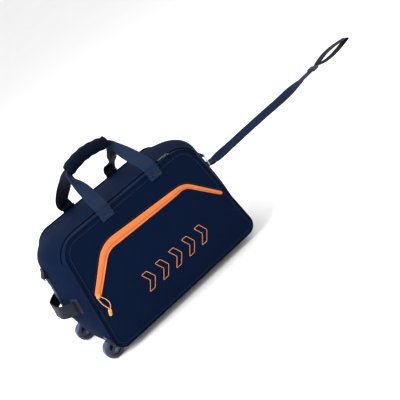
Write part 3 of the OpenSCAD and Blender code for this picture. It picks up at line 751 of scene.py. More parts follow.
def sewBody():
    wall = bag["wall"]
    loose = softRelief(0.7, 1.0)

    def underPocket(s, t, near, p):
        # the face lies flat where the pocket covers it
        covered = ease((pocketHigh(p.x) - p.z) / 0.008) * ease((pocket["half"] - abs(p.x)) / 0.006)
        return mix(loose(s, t, near, p), -0.0012 * ease(near / 0.004), covered)

    def band(name, cols, rows, k0, k1, relief):
        place = bandPlace(k0, k1, seamFront, seamBack)
        return surface(name, cols, rows, place, wall, "lining", relief=relief)

    front = surface("frontPanel", 120, 70, facePlace(-1), wall, "lining", relief=underPocket)
    settle(front, "frontPanel", "bag", "body", ["front_panel"])
    made["front"] = front
    back = surface("backPanel", 96, 56, facePlace(1), wall, "lining", relief=softRelief(1.5, 4.0))
    settle(back, "backPanel", "bag", "body", ["back_panel"])
    made["back"] = back
    left = band("leftEndPanel", 44, 44, firstLeft, firstTop, softRelief(1.6, 7.0))
    right = band("rightEndPanel", 44, 44, firstRight, firstBottom, softRelief(1.6, 9.0))
    bottom = band("bottomPanel", 96, 40, firstBottom, firstLeft, softRelief(0.3, 11.0, 0.0002))
    for s in (-1, 1):
        wheelWindow(left, s)
        wheelWindow(bottom, s)
    settle(left, "leftEndPanel", "bag", "body", ["left_end_panel"])
    settle(right, "rightEndPanel", "bag", "body", ["right_end_panel"])
    settle(bottom, "bottomPanel", "bag", "body", ["bottom_panel"])
    sewPiping("frontPiping", -1, "front_piping")
    sewPiping("backPiping", 1, "back_piping")
    print("body sewn")


zipper = {
    "width": 0.029, "mouth": 0.150, "stiffTo": 0.050, "fold": 0.040, "lift": -0.0006, "seamGap": 0.0028,
    "taperEnd": 0.014, "tapeThick": 0.0009, "chainGap": 0.0012, "chainEnd": 0.205, "toothPitch": 0.0021,
    "tooth": (0.0013, 0.0034, 0.0016), "toothShift": 0.0011, "weltRadius": 0.0013,
}
endLeft, endRight = 0.0, float(firstRight)


def zipFront(k):
    return seamFront(k) + zipper["seamGap"]


def zipBack(k):
    beyond = max(0, abs(rimAt(k)[0].x) - zipper["mouth"]) / 0.07
    return zipFront(k) + mix(zipper["width"], zipper["taperEnd"], ease(beyond))


def zipMiddle(k):
    return (zipBack(k) + zipFront(k)) / 2


def foldLine(k):
    return zipper["fold"]


def foldAway(piece, side):
    # cloth beside the mouth: its placement is baked into its mesh; start and end are worked out but not used,
    # and nothing bends it
    start, end = side * zipper["mouth"], side * zipper["stiffTo"]
    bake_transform(piece)


def foldingPiece(piece, side, node):
    foldAway(piece, side)
    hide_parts(node)


def sewTop():
    wall = bag["wall"]
    kl, km, kr = topIndex(-zipper["mouth"]), topIndex(0), topIndex(zipper["mouth"])
    for name, k0, k1, lo, cols in (("topLeftPanel", endLeft, kl, zipBack, 30),
                                   ("topRearPanel", kl, kr, foldLine, 72),
                                   ("topRightPanel", kr, endRight, zipBack, 30)):
        piece = surface(name, cols, 26, bandPlace(k0, k1, lo, seamBack), wall, "lining",
                        relief=softRelief(1.2, 14.0), seams=(0, 0, lo is zipBack, 1))
        settle(piece, name, "bag", "body", ["top_panel"])
    edge = bandPlace(endLeft, endRight, seamFront, zipFront, 0.0002)
    strip = surface("topFrontStrip", 110, 4, edge, wall, "lining")
    settle(strip, "topFrontStrip", "bag", "body", None)
    for name, k0, k1, side in (("mouthLeftPanel", kl, km, -1), ("mouthRightPanel", km, kr, 1)):
        piece = surface(name, 48, 26, bandPlace(k0, k1, zipBack, foldLine), wall, "lining",
                        relief=softRelief(1.2, 14.0), seams=(0, 0, 1, 0))
        settle(piece, name, None, "body")
        foldingPiece(piece, side, "mouth_flap")
    for name, k0, k1, side in (("zipWeltLeft", 0.6, kl, 0), ("zipWeltRight", kr, endRight - 0.6, 0),
                               ("zipWeltMouthLeft", kl, km, -1), ("zipWeltMouthRight", km, kr, 1)):
        count = max(6, round(abs(k1 - k0) * 3))
        stops = [mix(k0, k1, j / count) for j in range(count + 1)]
        line = [bandPoint(k, zipBack(k) - 0.0004, 0.0009) for k in stops]
        welt = tube(name, line, zipper["weltRadius"], "piping", sides=8)
        settle(welt, name, None if side else "bag", "piping")
        if side:
            foldAway(welt, side)
    print("top sewn")


def tapeRibs(s, t, near, p):
    return 0.00025 * math.sin(t * 2 * math.pi / 0.004)


def zipTape(name, cols, rows, k0, k1, lo, hi):
    place = bandPlace(k0, k1, lo, hi, zipper["lift"])
    return surface(name, cols, rows, place, zipper["tapeThick"], outer="zipTape", relief=tapeRibs)


def frontChain(k):
    return zipMiddle(k) - zipper["chainGap"]


def rearChain(k):
    return zipMiddle(k) + zipper["chainGap"]


def layMainZip():
    lift = zipper["lift"]
    kl, km, kr = topIndex(-zipper["mouth"]), topIndex(0), topIndex(zipper["mouth"])
    front = zipTape("zipFrontTape", 100, 6, kl, kr, zipFront, frontChain)
    settle(front, "zipFrontTape", "bag", "zipTape", ["main_zip_front_tape"])
    for name, k0, k1 in (("zipLeftEndTape", endLeft, kl), ("zipRightEndTape", kr, endRight)):
        piece = zipTape(name, 40, 8, k0, k1, zipFront, zipBack)
        settle(piece, name, "bag", "zipTape", ["main_zip_end_tapes"])
    for name, k0, k1, side in (("zipRearTapeLeft", kl, km, -1), ("zipRearTapeRight", km, kr, 1)):
        piece = settle(zipTape(name, 50, 6, k0, k1, rearChain, zipBack), name, None, "zipTape")
        foldingPiece(piece, side, "main_zip_rear_tape")

    # teeth lean in turn to the front and to the back half
    halves = {"front": [], "rearLeft": [], "rearRight": [], "ends": []}
    x = -zipper["chainEnd"]
    count = 0
    while x < zipper["chainEnd"]:
        k = topIndex(x)
        onFront = count % 2 == 0
        middle = bandPoint(k, zipMiddle(k), lift + 0.0007)
        way = bandPoint(k + 0.05, zipMiddle(k), lift) - bandPoint(k - 0.05, zipMiddle(k), lift)
        out = rimAt(k)[1]
        shift = Vector((0, -zipper["toothShift"] if onFront else zipper["toothShift"], 0))
        key = "rearLeft" if x < 0 else "rearRight"
        if onFront:
            key = "front"
        if abs(x) >= zipper["mouth"]:
            key = "ends"
        halves[key].append(seat(middle + shift, way, Vector((out.x, 0, out.y))))
        x += zipper["toothPitch"] / 2
        count += 1

    def teeth(name, key):
        return copies(name, grain(*zipper["tooth"]), halves[key], "teeth")

    settle(teeth("zipTeethFront", "front"), "zipTeethFront", "bag", "teeth", ["main_zip_front_teeth"])
    settle(teeth("zipTeethEnds", "ends"), "zipTeethEnds", "bag", "teeth", None)
    for name, key, side in (("zipTeethRearLeft", "rearLeft", -1), ("zipTeethRearRight", "rearRight", 1)):
        piece = settle(teeth(name, key), name, None, "teeth")
        foldingPiece(piece, side, "main_zip_rear_teeth")
    print("main zip laid")


pocket = {
    "start": (-0.2156, 0.1726), "leftBend": (-0.126, 0.260), "rightBend": (0.144, 0.248),
    "end": (0.223, 0.161), "leftRadius": 0.069, "rightRadius": 0.048, "swell": 0.014, "half": 0.2475,
    "flapWidth": ((-0.2156, 0.016), (-0.140, 0.019), (-0.090, 0.023), (0.100, 0.017), (0.140, 0.012),
                  (0.223, 0.009)),
    "profile": ((-1, 0.0004), (-0.94, 0.0016), (-0.72, 0.0021), (-0.60, 0.0020), (-0.54, 0.0006),
                (-0.46, 0.0006), (-0.40, 0.0022), (-0.20, 0.0031), (0.15, 0.0035), (0.50, 0.0033),
                (0.80, 0.0024), (0.95, 0.0014), (1, 0.0004)),
    "toothPitch": 0.0022, "tooth": (0.0026, 0.0012, 0.0014),
}
zs, zl, zr, ze = (Vector(pocket[k]) for k in ("start", "leftBend", "rightBend", "end"))
bendL = roundCorner(zs, zl, zr, pocket["leftRadius"], 16)
bendR = roundCorner(zl, zr, ze, pocket["rightRadius"], 14)
zipRoute = evenLine([zs] + bendL + bendR + [ze], 0.003)


def routeSide(t):
    d = pick(zipRoute, t + 0.01) - pick(zipRoute, t - 0.01)
    return Vector((-d.y, d.x)).normalized()


def flapWidth(t):
    return lookUp(pick(zipRoute, t).x, pocket["flapWidth"])


flapLow = [pick(zipRoute, k / 80) - routeSide(k / 80) * flapWidth(k / 80) * 0.30 for k in range(81)]
pocketLeft = [(-pocket["half"], 0.070), (-0.240, 0.130)]
pocketRight = [(0.240, 0.120), (pocket["half"], 0.070)]
pocketTop = pocketLeft + flapLow + pocketRight


def pocketHigh(x):
    return lookUp(x, pocketTop)


def pocketLow(x):
    return lookUp(x, lowerEdge) + 0.0015


def pouch(x, z):
    u = min(1, abs(x) / 0.238)
    lo, hi = pocketLow(x), pocketHigh(x)
    v, edge = 0, 0
    if hi > lo:
        v = held((z - lo) / (hi - lo))
        edge = ease((hi - z) / 0.006) * ease((z - lo) / 0.006)
    return 0.0006 + pocket["swell"] * (1 - u ** 4) * math.sin(math.pi * v) + 0.0024 * (1 - u ** 8) * edge


def pocketY(x, z):
    return frontY(x, z) - pouch(x, z)


def onFace(q):
    return Vector((q.x, frontY(q.x, q.y), q.y))


def sewPocket():
    def place(u, v):
        x = -pocket["half"] * math.cos(math.pi * u)
        z = mix(pocketLow(x), pocketHigh(x), v)
        return Vector((x, pocketY(x, z), z))

    panel = surface("pocketPanel", 110, 60, place, 0.0016, "lining", relief=softRelief(1.0, 21.0, 0.0003),
                    seamWidth=0.010)
    settle(panel, "pocketPanel", "bag", "body", ["pocket_panel"])
    made["pocket"] = panel
    length = lineLength(zipRoute)

    def flapPlace(u, v):
        s = 2 * v - 1
        c, n = pick(zipRoute, u), routeSide(u)
        near = min(u, 1 - u) * length
        end = math.sqrt(max(0.0, 1 - (1 - min(1, near / 0.007)) ** 2))
        q = c + n * s * flapWidth(u) / 2 * mix(0.35, 1, end)
        ripple = 0.03 * math.sin(u * length * 2 * math.pi / 0.019)
        wave = 1 + ripple + 0.08 * noise.noise(Vector((u * 30, 0, 0)))
        rise = 0.0012 + lookUp(s, pocket["profile"]) * mix(0.5, 1, end) * wave
        if q.y < pocketHigh(q.x):
            rise = max(rise, pouch(q.x, q.y) + 0.0016)
        return onFace(q) - Vector((0, rise, 0))

    flap = surface("pocketZipFlap", 170, 26, flapPlace, 0.0008, outer="orangeTape", seamWidth=0.002)
    settle(flap, "pocketZipFlap", "bag", "orangeTape", ["pocket_zip_flap"], 60)

    places = []
    steps = int(length / pocket["toothPitch"])
    for k in range(3, steps - 2):
        u = k / steps
        n = routeSide(u)
        q = pick(zipRoute, u) - n * flapWidth(u) * 0.25
        spot = onFace(q) - Vector((0, 0.0024, 0))
        places.append(seat(spot, Vector((n.x, 0, n.y)), Vector((0, -1, 0))))
    teeth = copies("pocketZipTeeth", grain(*pocket["tooth"]), places, "orangeTeeth")
    settle(teeth, "pocketZipTeeth", "bag", "orangeTeeth", ["pocket_zip_teeth"])

    def rowBeside(share, beyond, first, last, cloth, lift):
        # thread along the zip, at a share of the flap's half width
        row = []
        for k in range(first, last):
            u = k / 100
            q = pick(zipRoute, u) + routeSide(u) * (share * flapWidth(u) / 2 + beyond)
            row.append(onto(cloth, onFace(q), (0, 1, 0), lift))
        return row

    rows = [rowBeside(share, 0, 4, 97, flap, 0.0001) for share in (0.78, -0.82)]
    stitches("flapStitches", rows, (0, -1, 0), "bag", "orangeThread", 0.0034, (0.0026, 0.0006, 0.0005))
    outer = rowBeside(1, 0.0035, 2, 99, made["front"], 0.0002)
    stitches("panelStitches", [outer], (0, -1, 0), "bag")
    print("pocket sewn")


def topstitchFaces():
    # a row of thread beside the piping, on whichever cloth lies outermost
    for name, side, targets in (("frontTopstitch", -1, ("front", "pocket")), ("backTopstitch", 1, ("back",))):
        line = []
        for i in range(len(rim) + 1):
            p, n = rimAt(i % len(rim))
            q = p - n * bag["seamInset"]
            y = frontY(q.x, q.y) if side < 0 else backY(q.x, q.y)
            hits = [onto(made[t], (q.x, y, q.y), (0, -side, 0), 0.0001) for t in targets]
            line.append(min(hits, key=lambda h: h.y * -side))
        stitches(name, [line], (0, side, 0), "bag", "thread", 0.0046, (0.0034, 0.0008, 0.0007))
    print("faces topstitched")


motif = {
    "count": 5, "left": -0.104, "pitch": 0.047, "low": 0.098, "high": 0.148, "lean": 0.006, "bar": 0.017,
    "reach": 0.018, "thread": 0.00075,
}


def embroiderMotif():
    # a row of leaning outlined chevrons, each one closed line of thread
    low, high, bar, reach = (motif[key] for key in ("low", "high", "bar", "reach"))
    middle = (low + high) / 2
    threads = []
    for k in range(motif["count"]):
        x = motif["left"] + k * motif["pitch"]
        top = x + motif["lean"]
        corners = ((x, low), (x + bar, low), (x + bar + reach, middle), (top + bar, high), (top, high),
                   (x + reach, middle))
        loop = [Vector(c) for c in corners]
        line = []
        for a, b in zip(loop, loop[1:] + loop[:1]):
            line += [a + (b - a) * (j + 0.5) / 8 for j in range(8)]
        line = [onto(made["pocket"], (q.x, pocketY(q.x, q.y), q.y), (0, 1, 0), 0.0004) for q in line]
        threads.append(tube("motif", line, motif["thread"], "orangeThread", closed=True, sides=6))
    settle(joinPieces(threads), "chevronEmbroidery", "bag", "orangeThread", None)
    print("motif sewn")


turnZip = math.atan2(bendL[0].y - zs.y, bendL[0].x - zs.x)
sliderAt = zs + (bendL[0] - zs).normalized() * 0.003
leanFace = math.atan((bag["baseDepth"] - bag["topDepth"]) / 2 / bag["height"])
puller = {
    "rise": 0.0043, "eye": 0.0029, "out": 33, "lean": 40, "tab": (-0.0148, 0, -0.0551), "radius": 0.0009,
    "ribs": (0.0045, 0.0070, 0.0095),
    "loop": ((-0.0066, -0.0474), (-0.0051, -0.0463), (-0.0015, -0.0420), (0.0026, -0.0396), (0.0064, -0.0364),
             (0.0092, -0.0318), (0.0102, -0.0260), (0.0094, -0.0194), (0.0074, -0.0132), (0.0050, -0.0082),
             (0.0034, -0.0048), (0.0018, -0.0019), (0, 0), (-0.0018, 0.0019), (-0.0044, 0.0020),
             (-0.0063, -0.0008), (-0.0072, -0.0050), (-0.0080, -0.0120), (-0.0082, -0.0200),
             (-0.0068, -0.0295), (-0.0048, -0.0355), (-0.0042, -0.0397), (-0.0078, -0.0440),
             (-0.0090, -0.0462)),
}
sliderPlace = onFace(sliderAt) - Vector((0, puller["rise"], 0))
pullTurn = Matrix.Rotation(math.radians(puller["out"]), 4, Vector((-math.sin(turnZip), 0, math.cos(turnZip))))
pullPlace = Matrix.Translation(sliderPlace - Vector((0, puller["eye"], 0))) @ pullTurn


def blockPiece(size, place, bevel=0.0, segments=2, taper=None):
    # a block with rounded edges; taper narrows the faces at its +X end
    bpy.ops.mesh.primitive_cube_add(size=1)
    piece = bpy.context.object
    for v in piece.data.vertices:
        v.co = Vector((v.co.x * size[0], v.co.y * size[1], v.co.z * size[2]))
        if taper and v.co.x > 0:
            v.co.y *= taper
            v.co.z *= taper
    if bevel:
        modify(piece, "BEVEL", width=bevel, segments=segments, limit_method="NONE")
    piece.data.transform(place)
    return piece


def hangPuller():
    # the slider leans with the face after it is turned along the zip
    turn = Matrix.Rotation(-leanFace, 4, "X") @ Matrix.Rotation(-turnZip, 4, "Y")
    base = Matrix.Translation(sliderPlace) @ turn

    def block(size, x, y, bevel, segments=2, taper=None):
        return blockPiece(size, base @ Matrix.Translation((x, y, 0)), bevel, segments, taper)

    parts = [block((0.012, 0.0016, 0.009), 0, -0.0008, 0.0007, 3, 0.8)]
    parts += [block((0.0018, 0.0034, 0.0024), x, -0.0031, 0.0004) for x in (-0.0031, 0.0031)]
    parts.append(block((0.008, 0.0012, 0.0024), 0, -0.0048, 0.0005, 3))
    settle(joinPieces(parts), "pocketSlider", "pocket_slider", "orangePlastic", ["pocket_slider"],
           50)

    route = [pullPlace @ p for p in spline([(x, 0, z) for x, z in puller["loop"]], 6)]
    cord = tube("pullerCord", route, puller["radius"], "orangeCord", sides=10)
    settle(cord, "pullerCord", "pocket_puller", "orangeCord", ["pocket_puller_cord"])

    tabTurn = Matrix.Rotation(math.radians(puller["lean"]), 4, "Y")
    tabPlace = pullPlace @ Matrix.Translation(puller["tab"]) @ tabTurn
    bpy.ops.mesh.primitive_cylinder_add(vertices=32, radius=0.0040, depth=0.0042,
                                        rotation=(math.pi / 2, 0, 0))
    tab = bpy.context.object
    choose([tab])
    bpy.ops.object.transform_apply(location=False, rotation=True, scale=False)
    for v in tab.data.vertices:  # stretched into a waisted drop
        low = v.co.z < 0
        v.co.z = v.co.z * 0.85 + 0.003 if low else v.co.z * 1.1 + 0.014
        v.co.x *= 0.85 if low else 1.1
    modify(tab, "BEVEL", width=0.0009, segments=3, limit_method="ANGLE")
    tab.data.transform(tabPlace)
    ribs = [blockPiece((0.0078, 0.0050, 0.0008), tabPlace @ Matrix.Translation((0, 0, h)), 0.0003)
            for h in puller["ribs"]]
    tab = joinPieces([tab] + ribs)
    settle(tab, "pullerTab", "pocket_puller", "orangePlastic", ["pocket_puller_tab"], 50)
    length = lineLength(route)
    tuple(route[0])
    [tuple(p) for p in route]
    print("puller hung, cord", round(length, 4))


handle = {
    "width": 0.038, "thick": 0.0022, "neck": 0.014, "head": 0.440, "foot": 0.336, "travel": 0.085,
    "topWidth": 0.012, "topThick": 0.0046, "topSpread": 0.006, "tail": (0.018, 0.013, 0.008, 0.003),
    "frontFeet": (-0.070, 0.096), "backFeet": (-0.092, 0.064), "boxHigh": 0.0035, "boxLow": 0.0155,
}
footY = midY - bag["topDepth"] / 2
rearY = midY + bag["topDepth"] / 2
legRoutes = {
    "frontHandleLeftLeg": {
        "node": "front_handle_left_leg", "side": -1, "finish": "webbing", "turning": 2.5,
        "route": ((-0.070, footY, 0.336), (-0.070, footY, 0.344), (-0.070, footY + 0.011, 0.357),
                  (-0.0695, footY + 0.028, 0.377), (-0.069, footY + 0.046, 0.396),
                  (-0.069, footY + 0.064, 0.412), (-0.0695, footY + 0.079, 0.427), (-0.0640, 0.0005, 0.441))},
    "frontHandleRightLeg": {
        "node": "front_handle_right_leg", "side": 1, "finish": "webbing", "turning": 1,
        "route": ((0.096, footY, 0.336), (0.096, footY, 0.344), (0.094, footY + 0.010, 0.357),
                  (0.089, footY + 0.024, 0.373), (0.081, footY + 0.045, 0.395), (0.076, footY + 0.063, 0.411),
                  (0.072, footY + 0.079, 0.427), (0.0640, 0.0005, 0.441))},
    "backHandleLeftLeg": {
        "node": "back_handle_left_leg", "side": -1, "finish": "darkWebbing", "turning": 1.5,
        "route": ((-0.096, rearY, 0.336), (-0.096, rearY, 0.344), (-0.100, rearY - 0.004, 0.353),
                  (-0.100, rearY - 0.021, 0.369), (-0.093, rearY - 0.036, 0.385),
                  (-0.084, rearY - 0.048, 0.399), (-0.076, rearY - 0.060, 0.412),
                  (-0.071, rearY - 0.073, 0.426), (-0.0640, 0.0125, 0.441))},
    "backHandleRightLeg": {
        "node": "back_handle_right_leg", "side": 1, "finish": "darkWebbing", "turning": 1.5,
        "route": ((0.064, rearY, 0.336), (0.064, rearY, 0.345), (0.071, rearY - 0.004, 0.355),
                  (0.080, rearY - 0.015, 0.365), (0.082, rearY - 0.030, 0.377), (0.077, rearY - 0.043, 0.393),
                  (0.072, rearY - 0.055, 0.408), (0.070, rearY - 0.072, 0.426), (0.0640, 0.0125, 0.441))},
}


def raiseLeg(name, leg):
    route = evenLine(spline(leg["route"], 12), 0.002)

    def across(u):
        return Vector((leg["side"], 0, 0)).lerp(Vector((0, 0.2, 1)), u ** leg["turning"])

    def width(u):
        return mix(handle["width"], handle["neck"], u ** 4)

    def curl(s, t, near, p):
        return 0.0014 * math.sin(t / handle["width"] * math.pi) * math.sin(s * 9)

    piece = strap(name, route, across, width, handle["thick"], leg["finish"], 90, 10, curl)
    settle(piece, name, "bag", leg["finish"], [leg["node"]])
    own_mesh(piece)


def sewTails(name, node, feet, side):
    # the sewn ends of one handle, each held with a stitched box and its cross
    face, seam, finish = (frontY, footY, "webbing") if side < 0 else (backY, rearY, "darkWebbing")
    half, high, low = handle["width"] / 2 - 0.003, handle["boxHigh"], handle["boxLow"]
    pieces, lines = [], []

    def point(x, depth, lift):
        return Vector((x, face(x, topZ - depth) + side * lift, topZ - depth))

    for x in feet:
        points = [point(x, h, 0.0018) for h in handle["tail"]]
        points += [(x, seam + side * 0.0040, topZ + 0.0025), (x, seam + side * 0.0012, topZ + 0.0062),
                   (x, seam, handle["foot"] + 0.0004)]
        pieces.append(strap(name, evenLine(spline(points, 8), 0.0015), lambda u: Vector((-side, 0, 0)),
                            lambda u: handle["width"], handle["thick"], finish, 40, 8))
        box = ((-half, low), (half, low), (half, high), (-half, high), (-half, low))
        for row in (box, (box[0], box[2]), (box[1], box[3])):
            lines.append([Vector((dx, 0, 0)) + point(x, h, 0.0031) for dx, h in row])
    settle(joinPieces(pieces), name, "bag", "webbing", [node])
    stitches(name + "Stitches", lines, (0, side, 0), "bag", "thread", 0.0033, (0.0025, 0.0008, 0.0007))


def gripMiddle(x):
    return handle["head"] + 0.012 * math.sin(math.pi / 2 + math.pi / 2 * x / 0.066)


def raiseHandles():
    for name, leg in legRoutes.items():
        raiseLeg(name, leg)
    for name, node, side, finish in (("frontHandleTop", "front_handle_top", -1, "webbing"),
                                     ("backHandleTop", "back_handle_top", 1, "darkWebbing")):
        y = midY + side * handle["topSpread"]
        route = [Vector((x / 1000, y, gripMiddle(x / 1000))) for x in range(-66, 67, 3)]
        piece = strap(name, route, lambda u: Vector((0, 0.3, 1)), lambda u: handle["topWidth"],
                      handle["topThick"], finish, 60, 8)
        settle(piece, name, "grip", finish, [node])
    sewTails("frontHandleAnchors", "front_handle_anchors", handle["frontFeet"], -1)
    sewTails("backHandleAnchors", "back_handle_anchors", handle["backFeet"], 1)
    print("handles raised")


grip = {
    "half": 0.0625, "rx": 0.017, "rz": 0.0135, "wall": 0.0032, "wrapFrom": 60, "wrapTo": 425, "flapFrom": 200,
    "flapTo": 60, "flapWall": 0.0018, "flapPast": 0.006, "flapLift": 0.0016,
}


def gripPoint(x, angle, grow):
    a = math.radians(angle)
    end = 1 - 0.10 * ease((abs(x) - 0.050) / 0.0125)
    puff = 0.0012 * math.sin((x + grip["half"]) / 0.025 * math.pi) ** 2
    r = grow + puff + 0.0007 * noise.noise(Vector((x * 90, a * 1.5, 3)))
    y = midY + (grip["rx"] + r) * math.cos(a) * end
    return Vector((x, y, gripMiddle(x) + (grip["rz"] + r) * math.sin(a) * end))


def wrapGrip():
    def shell(u, v):
        return gripPoint(mix(-grip["half"], grip["half"], u), mix(grip["wrapFrom"], grip["wrapTo"], v), 0.0)

    def hem(s, t, near, p):
        return -0.0012 * (1 - ease(near / 0.004))

    wrap = surface("gripWrap", 64, 72, shell, grip["wall"], outer="wrap", seamWidth=0.004, relief=hem)
    settle(wrap, "gripWrap", "grip", "wrap", ["grip_wrap"])

    def flap(u, v):
        x = mix(-grip["half"] + 0.001, grip["half"] + grip["flapPast"], u)
        p = gripPoint(min(x, grip["half"]), mix(grip["flapFrom"], grip["flapTo"], v), grip["flapLift"])
        corner = ease((u - 0.86) / 0.14) * ease((v - 0.6) / 0.4)  # one corner stands up
        return Vector((x, p.y, p.z + 0.0022 * corner))

    leaf = surface("gripWrapFlap", 60, 30, lambda u, v: flap(u, 1 - v), grip["flapWall"], outer="wrap",
                   seamWidth=0.004)
    settle(leaf, "gripWrapFlap", "wrap_flap", "wrap", ["grip_wrap_flap"])

    def outwards(p):
        return Vector((0, p.y - midY, p.z - gripMiddle(p.x)))

    inset = 0.07
    lines = [[flap(mix(inset, 1 - inset, k / 40), 0.90) for k in range(41)]]
    lines += [[flap(u, mix(0.10, 0.90, k / 20)) for k in range(21)] for u in (inset, 1 - inset)]
    lifted = [[p + outwards(p).normalized() * 0.0002 for p in line] for line in lines]
    stitches("gripFlapStitches", lifted, outwards, "wrap_flap", "thread", 0.0034)
    print("grip wrapped")


endStops = [bandPoint(k / 4, midY) for k in range(4 * firstBottom, 4 * firstRight - 1, -1)]
endTable = [(p.z, p.x) for p in endStops]


def endX(z):
    return lookUp(z, endTable)


def leftX(y, z):
    # outer place of the wheeled end off the middle of the bag's depth
    table = [(p.z, p.x) for p in (bandPoint(k, y) for k in range(firstLeft, firstTop + 1))]
    return lookUp(z, table)


grab = {
    "height": 0.166, "spread": 0.066, "width": 0.038, "middleWidth": 0.036, "thick": 0.0026,
    "padLong": 0.026, "padHigh": 0.044, "padThick": 0.0016, "padLift": 0.0022,
}
rings = {"top": 0.237, "foot": 0.205, "wire": 0.0017, "half": 0.0125, "corner": 0.003, "tape": 0.025,
         "tapeThick": 0.0016, "deeHeight": 0.255, "deeRadius": 0.015}
tapeBend = rings["wire"] + 0.0003 + 0.0009
ringX = (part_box("right_ring")[0].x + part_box("right_ring")[1].x) / 2
dRingX = (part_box("left_d_ring")[0].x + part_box("left_d_ring")[1].x) / 2


def sewGrabHandle():
    z, y0, y1 = grab["height"], midY - grab["spread"], midY + grab["spread"]
    out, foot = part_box("end_grab_handle")[0].x + 0.0015, leftX(y0, z) + 0.0004
    wall = Vector((leftX(y0, z + 0.019) - leftX(y0, z - 0.019), 0, grab["width"]))
    points = [(foot, y0, z), (foot - 0.012, y0 + 0.004, z), (out + 0.0035, midY - 0.032, z + 0.0005),
              (out, midY, z - 0.0005), (out + 0.0035, midY + 0.032, z + 0.0005),
              (foot - 0.012, y1 - 0.004, z), (foot, y1, z)]

    def width(u):
        return mix(grab["middleWidth"], grab["width"], math.sin(math.pi * u))

    def cup(s, t, near, p):
        return 0.0008 * math.sin(t / grab["width"] * math.pi)

    piece = strap("endGrabHandle", evenLine(spline(points, 12), 0.002), lambda u: wall, width, grab["thick"],
                  "darkWebbing", 90, 10, cup)
    settle(piece, "endGrabHandle", "bag", "darkWebbing", ["end_grab_handle"])

    def patch(s):
        def place(u, v):
            height = z + (v - 0.5) * grab["padHigh"]
            k = firstLeft + (height - arcBL[-1].y) / (arcTL[0].y - arcBL[-1].y) * (firstTop - firstLeft)
            return bandPoint(k, midY + s * grab["spread"] - (u - 0.5) * grab["padLong"], grab["padLift"])
        return place

    pads, lines = [], []
    for s in (-1, 1):
        pads.append(surface("grabPad", 12, 14, patch(s), grab["padThick"], outer="darkWebbing",
                            seamWidth=0.003))
        box = ((0.12, 0.08), (0.88, 0.08), (0.88, 0.92), (0.12, 0.92), (0.12, 0.08))
        lines.append([patch(s)(u, v) + Vector((-0.0003, 0, 0)) for u, v in box])
    settle(joinPieces(pads), "grabHandlePads", "bag", "darkWebbing", None)
    stitches("grabStitches", lines, (-1, 0, 0), "bag")


def sewRingTab(name, node, side, x, z, top):
    # tape from the end panel round the ring and back on itself
    half = (top + z) / 2
    points = [(endX(top) + 0.0016, top), (endX(half + 0.002) + 0.0016, half + 0.002)]
    points += [(x + tapeBend * math.cos(math.radians(a)), z + tapeBend * math.sin(math.radians(a)))
               for a in range(180, 391, 30)]
    points += [(endX(half + 0.005) + 0.0038, half + 0.005), (endX(top) + 0.0036, top)]
    route = evenLine(spline([(side * px, midY, pz) for px, pz in points], 6), 0.0012)
    piece = strap(name, route, lambda u: Vector((0, side, 0)), lambda u: rings["tape"], rings["tapeThick"],
                  "darkWebbing", 70, 8)
    settle(piece, name, "bag", "darkWebbing", [node])
    rows = [[Vector((side * (endX(h) + 0.0046), midY + dy, h)) for dy in (-0.010, 0, 0.010)]
            for h in (top - 0.003, half + 0.006)]
    stitches(name + "Stitches", rows, (side, 0, 0), "bag")


def bendRing(name, outline, body, node):
    line = evenLine(outline + [outline[0]], 0.0015)[:-1]
    ring = tube(name, line, rings["wire"], "metal", closed=True, sides=14)
    settle(ring, name, body, "metal", [node])


def sewEnds():
    sewGrabHandle()
    lo, hi = midY - rings["tape"] / 2, midY + rings["tape"] / 2
    down = bandPlace(firstLeft + 8.0, firstTop - 4.0, lambda k: lo, lambda k: hi, 0.0020)
    strip = surface("leftRingWebbing", 60, 8, down, rings["tapeThick"], outer="webbing", seamWidth=0.003)
    settle(strip, "leftRingWebbing", "bag", "webbing", ["left_ring_webbing"])
    sewRingTab("leftRingTab", "left_ring_tab", -1, -dRingX, 0.259, 0.282)
    sewRingTab("rightRingTab", "right_ring_tab", 1, ringX, rings["top"], 0.264)

    rectangle = []
    r, high, low = rings["corner"], rings["top"] - rings["corner"], rings["foot"] + rings["corner"]
    for cy, cz, a0 in ((rings["half"], high, 0), (-rings["half"], high, 90), (-rings["half"], low, 180),
                       (rings["half"], low, 270)):
        for a in range(0, 91, 15):
            t = math.radians(a0 + a)
            rectangle.append(Vector((ringX, midY + cy + r * math.cos(t), cz + r * math.sin(t))))
    bendRing("rightRing", rectangle, "right_ring", "right_ring")
    dee = []
    for a in range(180, 361, 10):
        t = math.radians(a)
        y, z = midY + rings["deeRadius"] * math.cos(t), rings["deeHeight"] + rings["deeRadius"] * math.sin(t)
        dee.append(Vector((dRingX, y, z)))
    dee += [Vector((dRingX, midY + dy, 0.2588)) for dy in (0.0135, -0.0135)]
    bendRing("leftRing", dee, "left_d_ring", "left_d_ring")
    print("ends sewn")


